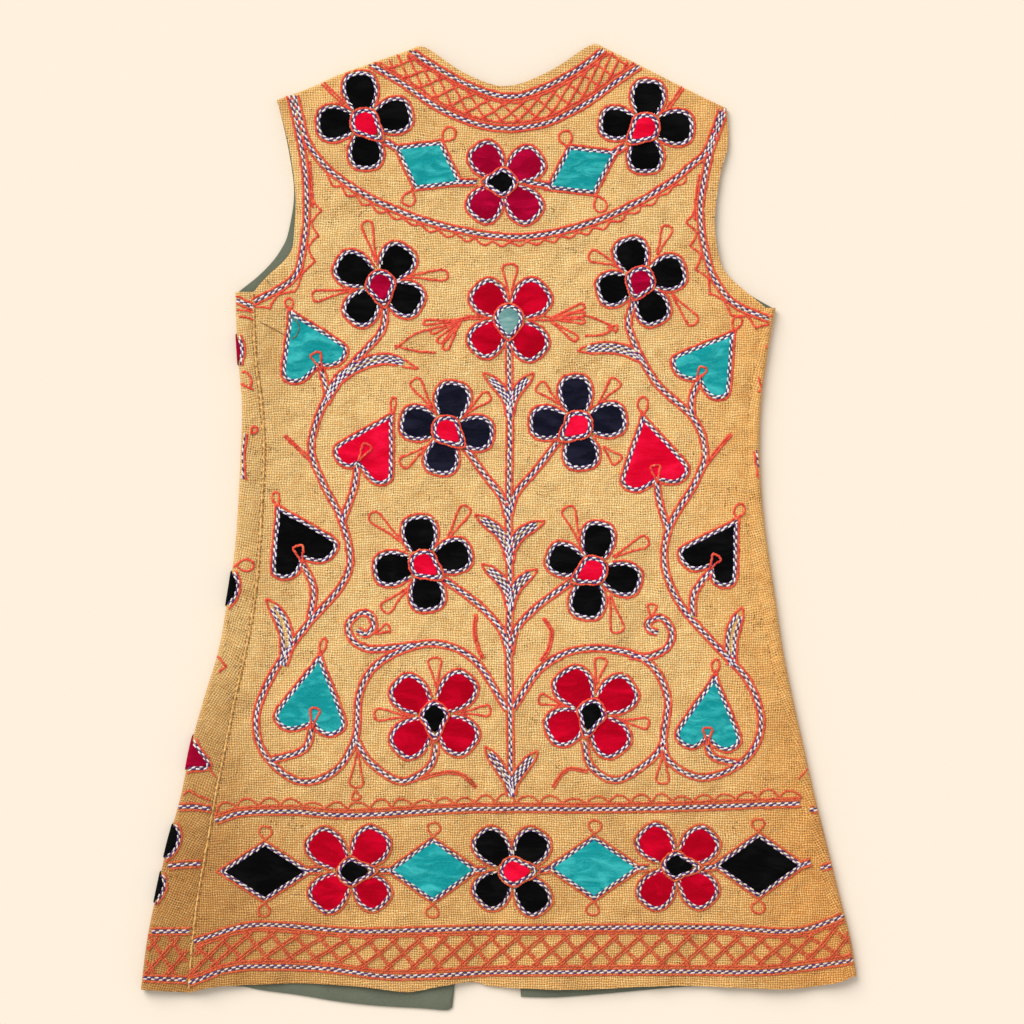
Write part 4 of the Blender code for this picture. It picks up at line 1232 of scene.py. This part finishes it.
# Leaves: from the stem to the tip, and width
LEAVES = (
    (((-142, 103), (-131, 122), (-112, 134), (-90, 138), (-66, 130)), 5),
    (((117, 138), (104, 145), (88, 147.5), (64, 145)), 5),
    (((-177, -112), (-174, -98), (-175, -86), (-180, -73), (-191, -58)), 8),
    (((191, -112), (190, -98), (192, -84), (200, -65)), 7.5),
)
SPRIGS = (
    ((-175, 75), (-166, 66), (-153, 54)), ((190, 76), (181, 66), (170, 52)),
    ((-19, -72), (-20, -85), (-17, -99), (-13, -108)), ((37, -75), (43, -85), (41, -99), (34, -110)),
    ((-64, -206), (-45, -201), (-30, -203), (-18, -214)),
    ((72, -200), (58, -198), (50, -204), (44, -214)),
)
VINE_DROPS = ((-116, -183, -117, -213, 11), (135, -184, 134, -210, 11),
              (-101.5, -87, -90, -81.5, 7), (125, -75, 126, -63, 8), (-118, -215, -117, -223, 8))
# Shares of a leaf's length and width, the part of its length that is filled and where its rows lie
LEAF_WIDTHS = ((0, 0.35), (0.25, 0.9), (0.6, 1.0), (0.85, 0.6), (1, 0.1))
LEAF_FILLED = 0.88
LEAF_ROW = 0.8
DOUBLE_THREAD = (-0.95, 0.95)


def leaf(points, width, lift=ON_CLOTH):
    """Leaf of two two-tone rows, closed by orange lines that meet beyond them at its tip."""
    path = curve(points)
    share = lengths_along(path) / lengths_along(path)[-1]
    half = width / 2 * np.interp(share, *np.transpose(LEAF_WIDTHS))
    filled = slice(0, int(len(path) * LEAF_FILLED))
    for way in (-1, 1):
        two_tone(offset_path(path, half * way * LEAF_ROW)[filled], lift)
    reach = LEAF_ROW * half + BORDER_OFFSET * np.minimum(1, 4.5 * (1 - share))
    orange_rows(path, (-reach, reach), lift)


for points in VINES + HEART_STEMS:
    stem(curve(points))
for points, width in LEAVES:
    leaf(points, width)
for points in SPRIGS:
    orange_rows(curve(points), DOUBLE_THREAD)
sew_loops(VINE_DROPS)
end_of_group("vines")

# Centre stem
# The straight stem under the chest flower, thick at the hips, with pairs of leaves and the branches
# of the waist and hip flowers.
CENTRE_STEM = ((8, 154), (9, 80), (8, 16), (9, -58), (8, -95), (9, -150), (10, -220))
STEM_LEAVES = (
    (((8.5, 92), (7, 104), (0, 115), (-13, 127)), 4),
    (((8.5, 92), (11, 105), (18, 116), (29, 127)), 4),
    (((8, -26), (7, -17), (4, -9.5), (-3, -1), (-20, 11)), 5.2),
    (((9, -28), (9.5, -19), (12.5, -12), (20, -3.5), (38, 5.5)), 5.2),
    (((8.5, -64), (7.5, -54), (3, -45), (-5, -37), (-14.5, -30)), 4.6),
    (((9.5, -66), (10.5, -57), (15, -48), (22, -41), (32, -34)), 4.6),
    (((9.5, -219), (8, -209), (0, -196), (-12, -179)), 4.6),
    (((10.5, -219), (12, -209), (20, -197), (32, -183)), 4.6),
)
BRANCHES = (
    ((-27, 65), (-13, 45), (2, 25), (7, 8)), ((48, 70), (31, 48), (14, 28), (9, 10)),
    ((-44, -43), (-16, -64), (2, -84), (8, -104)), ((58, -45), (30, -66), (14, -84), (9, -104)),
)
CHEST_SPRIGS = (
    ((-11, 173), (-24, 173), (-34, 171)), ((-11, 171), (-24, 171), (-35, 169)),
    ((-56, 163), (-70, 158), (-86, 146)), ((-85, 149), (-70, 145), (-52, 143)),
    ((26, 173), (38, 173), (44, 172)), ((26, 170), (38, 170), (44, 170)),
    ((70, 174), (82, 170), (93, 164), (84, 158), (70, 157)),
)
# From, to and width of the long narrow loops that fan out beside the chest flower
CHEST_FANS = (
    (-33, 170, -62, 168, 4), (-34, 169, -56, 160, 4), (-33, 168, -50, 152, 5),
    (-32, 168, -45, 146, 5.5),
    (43, 172, 70, 182, 5), (44, 172, 70, 175, 4), (44, 171, 70, 169, 4), (43, 169, 64, 154, 5.5),
    (90, 164, 97, 163, 5),
)
stem(curve(CENTRE_STEM))
for points, width in STEM_LEAVES:
    leaf(points, width, ON_CLOTH + 0.25)
for points in BRANCHES:
    stem(curve(points))
for points in CHEST_SPRIGS:
    sew("orange", curve(points), ON_CLOTH + 0.2, over=True)
sew_loops(CHEST_FANS, size=1.1)
end_of_group("centre_stem")

# Yoke line and armhole lines
# A two-tone line sweeps under the yoke and one follows each armhole, all with orange beside them
# and a row of orange scallops or points that hangs on the inner side.
YOKE = ((-168, 356), (-162, 332), (-158, 318), (-149, 304), (-133, 288), (-97, 266), (-45, 247),
        (16, 238), (73, 249), (116, 268), (132, 277.5), (146, 287), (157, 296.5), (169, 307),
        (176, 323), (183, 343))
ARMHOLE_LINES = (
    ((-171.5, 356), (-161, 307), (-157.5, 267), (-161, 227), (-170, 203), (-202, 184)),
    ((187, 344), (179, 325), (172, 303), (165, 259), (171.5, 217), (183, 194), (197, 181), (223, 170)),
)


def scallops(path, start, depth, spacing, profile):
    """Row of arches that stands off a line; the profile gives an arch's shares of width and height."""
    travel = lengths_along(path)
    count = max(int(round(travel[-1] / spacing)), 1)
    warped = travel + spacing * 0.14 * np.sin(travel / 31) * np.sin(math.pi * travel / travel[-1])
    place = count * warped / travel[-1] % 1
    wave = np.interp(place, *np.transpose(profile))
    uneven = 1 + 0.20 * np.sin(travel / 17) + 0.12 * np.sin(travel / 7)
    return offset_path(path, start + depth * wave * uneven)


LEANING_ARCH = ((0, 0), (0.2, 0.35), (0.5, 0.95), (0.62, 1.0), (0.78, 0.75), (1, 0))
POINTED_ARCH = ((0, 0), (0.25, 0.35), (0.5, 1.0), (0.75, 0.4), (1, 0))
ROUND_ARCH = ((0, 0), (0.1, 0.45), (0.28, 0.85), (0.5, 1.0), (0.72, 0.85), (0.9, 0.45), (1, 0))
yoke = curve(YOKE)
stem(yoke)
sew("orange", scallops(yoke[72:-62], -4.0, -3.6, 14.5, LEANING_ARCH), over=True)
for side_sign, points in zip((1, -1), ARMHOLE_LINES):
    line = curve(points)
    stem(line)
    sew("orange", offset_path(line, side_sign * 4.6)[58:96])
    sew("orange", scallops(line[86:], side_sign * 4.0, side_sign * 6.6, 20.0, POINTED_ARCH), over=True)
end_of_group("yoke_and_armholes")

# Neck band
# A wide band of orange lattice round the back neck, between two lines of two-tone stitch.
NECK_UPPER = ((-72, 391), (-51, 377), (-21, 361), (9, 353), (38, 361), (67, 377), (87, 393))
NECK_LOWER = ((-105, 380), (-79, 364), (-44, 341), (-5, 328), (33, 330), (67, 345), (97, 366),
              (116, 379))
DOUBLE_SIZE = 0.84
LATTICE_STEPS = 24
LATTICE_OVER = 0.35


def lattice(lower, upper, crossings, reach, threads=DOUBLE_THREAD, size=DOUBLE_SIZE, bend=0.0):
    """Slanting rows both ways between two lines; reach is how many crossings each spans."""
    steps = even(LATTICE_STEPS)
    for way in (1, -1):
        for k in range(-math.ceil(reach), crossings + 1):
            shares = (k + reach * steps + bend * np.sin(2 * math.pi * steps)) / crossings
            inside = (shares >= 0) & (shares <= 1)
            if inside.sum() < 5:
                continue
            low, high = (points_at(line, shares[inside] * lengths_along(line)[-1])
                         for line in (lower, upper))
            rise = steps[inside] if way == 1 else 1 - steps[inside]
            path = low + (high - low) * rise[:, None]
            orange_rows(path, threads, ON_CLOTH + (LATTICE_OVER if way == 1 else 0.0), size)


neck_upper, neck_lower = curve(NECK_UPPER), curve(NECK_LOWER)
stem(neck_upper)
stem(neck_lower)
orange_rows(neck_lower, (4.9,))
orange_rows(neck_upper, (-4.7,))
beyond = curve(((-97, 406),) + NECK_UPPER + ((111, 408),))
lattice(offset_path(neck_lower, 5.0), offset_path(beyond, -4.8), 17, 1.45, (0.0,), 1.0, 0.04)
end_of_group("neck_band")

# Hem borders
# A scalloped line crosses above the row of diamonds and flowers, and a lattice band of double
# orange threads runs along the hem. Both go on over the side seams.
BESIDE_LINE = 4.7
HEM_LINE = ((-231, -240), (-209, -234), (-169, -233), (-122, -236), (-25, -231), (70, -231),
            (139, -230), (248, -226))
BAND_UPPER = ((-249, -339), (-213, -328), (-184, -326), (-114, -331), (-16, -329), (165, -328),
              (239, -331), (270, -323), (287, -316))
BAND_LOWER = ((-253, -373), (-225, -363), (-196, -360), (-139, -362), (-85, -368), (1, -365),
              (116, -364), (215, -364), (281, -356), (291, -352))
hem_line, band_upper, band_lower = curve(HEM_LINE), curve(BAND_UPPER), curve(BAND_LOWER)
stem(hem_line)
orange_rows(hem_line, (4.6,))
sew("orange", scallops(hem_line, 4.4, 6.4, 18.0, ROUND_ARCH), over=True)
end_of_group("hem_line")
for line, way in ((band_upper, -1), (band_lower, 1)):
    stem(line)
    orange_rows(line, (way * BESIDE_LINE,))
lattice(offset_path(band_lower, 5.0), offset_path(band_upper, -5.0), 27, 1.35)
end_of_group("hem_band")

# Side strips
# What the fronts show of their own work beyond the side seams: parts of four velvet petals and of a
# heart that go on round the fold, and the ends of the hem and armhole lines.
STRIP_FOOT = 3.7
STRIP_VELVET = 0.9
STRIP_TWO_TONE = -0.8
STRIP_OUTLINE = -3.3
SEEN_SHARE = 0.55
STRIP_ROWS = 24
STRIP_COLUMNS_OF_VELVET = 9
# Middle measured round the cloth from the fold's foot, height, half sizes and colour
STRIP_PETALS = (
    ("front_petal_top", 2.0, 146, 9.6, 13.5, "crimson"),
    ("front_petal_middle", 3.0, -50, 11.7, 15.0, "black"),
    ("front_petal_hem_upper", 4.0, -257, 12.2, 14.5, "black"),
    ("front_petal_hem_lower", 2.0, -295, 11.0, 13.5, "black"),
)
STRIP_HEART = ((5.0, -170.0), (14.0, -181.0), (25.5, -194.5), (14.0, -196.5), (5.0, -199.0))
STRIP_LINES = (
    ((-216, 187), (-200, 180)), ((-209, 76), (-211, 58), (-210, 38)),
    ((-261, -229), (-248, -229), (-235, -231)), ((-269, -277), (-255, -276), (-243, -276)),
    ((-289, -331), (-268, -331), (-252, -331)), ((-293, -369), (-275, -370), (-255, -371)),
    ((256, -231), (262, -231)), ((265, -279), (276, -276)),
    ((212, 62), (213.5, 50), (215, 40)),
)
STRIP_ORANGE = (
    ((-217, 178), (-208, 178), (-201, 176)), ((-215, 173), (-207, 172), (-201, 170)),
    ((-224, -113), (-231, -105)), ((-224, -114), (-230, -119)),
    ((-233, -204), (-239, -195)), ((219, 149), (221, 141), (219, 133)),
    ((213, 122), (215, 114), (212, 111)), ((246, -205), (250, -201), (255, -195)),
    ((-262, -222), (-254, -216), (-246, -220), (-236, -224)),
)
STRIP_LOOPS = ((-203, 113, -211, 127, 9), (-217, -31, -201, -31, 9), (-203, 77, -199, 82, 5))


def round_fold(a, y, lift):
    """Place on the left strip at a distance a round the cloth from its fold's foot."""
    radius = FOLD_RADIUS + lift
    start = side("left_fold", y) + FOLD_RADIUS
    angle = np.minimum(a / FOLD_RADIUS, math.pi)
    x = start - radius * np.sin(angle) + np.maximum(a - math.pi * FOLD_RADIUS, 0)
    z = np.where(a < math.pi * FOLD_RADIUS, FOLD_RADIUS - radius * np.cos(angle),
                 cloth_height(x, y) + lift)
    return np.stack([x, y, z], axis=-1)


def add_strip_velvet(node, edge, colour):
    """Velvet from the fold's foot to an edge given as distances round the cloth and heights."""
    heights = np.linspace(edge[:, 1].min(), edge[:, 1].max(), STRIP_ROWS + 1)
    order = np.argsort(edge[:, 1])
    reach = np.maximum(np.interp(heights, edge[order, 1], edge[order, 0]), STRIP_FOOT + 0.3)
    a = STRIP_FOOT + (reach[:, None] - STRIP_FOOT) * even(STRIP_COLUMNS_OF_VELVET)
    y = np.broadcast_to(heights[:, None], a.shape)
    faces_up = round_fold(a, y, VELVET_GAP + STRIP_VELVET)
    faces_down = round_fold(a, y, VELVET_GAP)
    index, quads = grid_faces(*a.shape)
    quads = quads.reshape(-1, 4)
    rim = np.concatenate([index[0], index[1:, -1], index[-1, -2::-1], index[-2:0:-1, 0]])
    after = np.roll(rim, -1)
    walls = np.stack([rim, rim + a.size, after + a.size, after], axis=1)
    faces = np.vstack([quads, quads[:, ::-1] + a.size, walls])
    add_velvet(node, np.stack([faces_up, faces_down]), faces.tolist(), colour)


def strip_path(edge):
    """Plan of an edge on the left strip, as far as it is seen from above."""
    seen = edge[edge[:, 0] > SEEN_SHARE * math.pi * FOLD_RADIUS]
    return round_fold(seen[:, 0], seen[:, 1], 0.0)[:, :2]


strip_edges = []
for name, a, y, half_width, half_height, colour in STRIP_PETALS:
    angles = np.linspace(-math.pi / 2, math.pi / 2, 48)
    edge = np.stack([a + half_width * np.cos(angles), y + half_height * np.sin(angles)], axis=1)
    strip_edges.append((name, edge, colour))
strip_edges.append(("front_heart", curve(STRIP_HEART)[::-1], "dark_red"))
for name, edge, colour in strip_edges:
    add_strip_velvet(name, edge, colour)
    line = strip_path(edge)
    two_tone(offset_path(line, STRIP_TWO_TONE), ON_VELVET_RIM)
    orange_rows(line, (STRIP_OUTLINE,))
for points in STRIP_LINES:
    stem(curve(points))
for points in STRIP_ORANGE:
    sew("orange", curve(points))
sew_loops(STRIP_LOOPS, ROUND_LOOP)
lattice(curve(((-290, -366), (-257, -368))), curve(((-286, -335), (-254, -335))), 2, 1.5)
end_of_group("side_strips")

# Side seams
# The back is sewn to each front with dark brown thread. On the left the thread shows all the way
# beside the front's edge, which stands up as a narrow ridge, and on the right it shows in places.
line = side_line("left_seam", 0.0)
sew("jute", line, 0.05, pitch=4.0, slant=0, aside=0.5)
sew("brown", line, 0.30, pitch=4.2, slant=4, size=1.25, aside=-0.9)
sew("brown", line, 0.20, pitch=5.2, slant=4, size=1.15, aside=1.9)
line = side_line("right_seam", 0.0)
for start in range(70, ROWS_BELOW_ARM - 16, 29):
    sew("brown", line[start:start + 11], 0.1, pitch=4.6, slant=0)
# Loose ends at the left armhole, and how high each lies
LOOSE_THREADS = ((((-195, 168), (-185, 163), (-175, 157)), 0.5),
                 (((-169, 172), (-164, 166), (-165, 159), (-170, 154)), 1.8))
for points, lift in LOOSE_THREADS:
    sew("brown", curve(points), lift, pitch=1.8, slant=0, over=True)
end_of_group("side_seams")

# Joined stitches
# Each group's stitches of one thread are joined, without the orange ones that two-tone rows cover.
# Cells of the plan mark the places that white and purple stitches cover.
CELL = 0.5
COVER = 1.25
CELL_COUNTS = (1400, 1700)
covered = np.zeros(CELL_COUNTS, bool)


def cells(table):
    """Row and column of each stitch on the grid of covered places."""
    return (np.floor(table[:, :2] / CELL) + np.array(CELL_COUNTS) // 2).astype(int)


reach = int(COVER / CELL) + 1
disc = [(i, j) for i in range(-reach, reach + 1) for j in range(-reach, reach + 1)
        if math.hypot(i, j) * CELL <= COVER]
for name, thread, table in needlework:
    if thread in ("white", "purple"):
        for step in disc:
            spots = cells(table) + step
            covered[spots[:, 0], spots[:, 1]] = True
for name, thread, table in needlework:
    if thread == "orange":
        spots = cells(table)
        table = table[(table[:, 7] > 0) | ~covered[spots[:, 0], spots[:, 1]]]
    c, s = np.cos(table[:, 3])[:, None], np.sin(table[:, 3])[:, None]
    local = TEMPLATE_POINTS[None] * table[:, None, 4:7]
    points = np.stack([local[..., 0] * c - local[..., 1] * s + table[:, 0:1],
                       local[..., 0] * s + local[..., 1] * c + table[:, 1:2],
                       local[..., 2] + table[:, 2:3]], axis=-1)
    starts = np.arange(len(table))[:, None, None] * len(TEMPLATE_POINTS)
    faces = (TEMPLATE_FACES[None] + starts).reshape(-1, 3)
    stitches = add_object(f"{name}_{thread}", points, faces.tolist(), thread_materials[thread])
    stitches.data.shade_smooth()
    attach(stitches, "root")
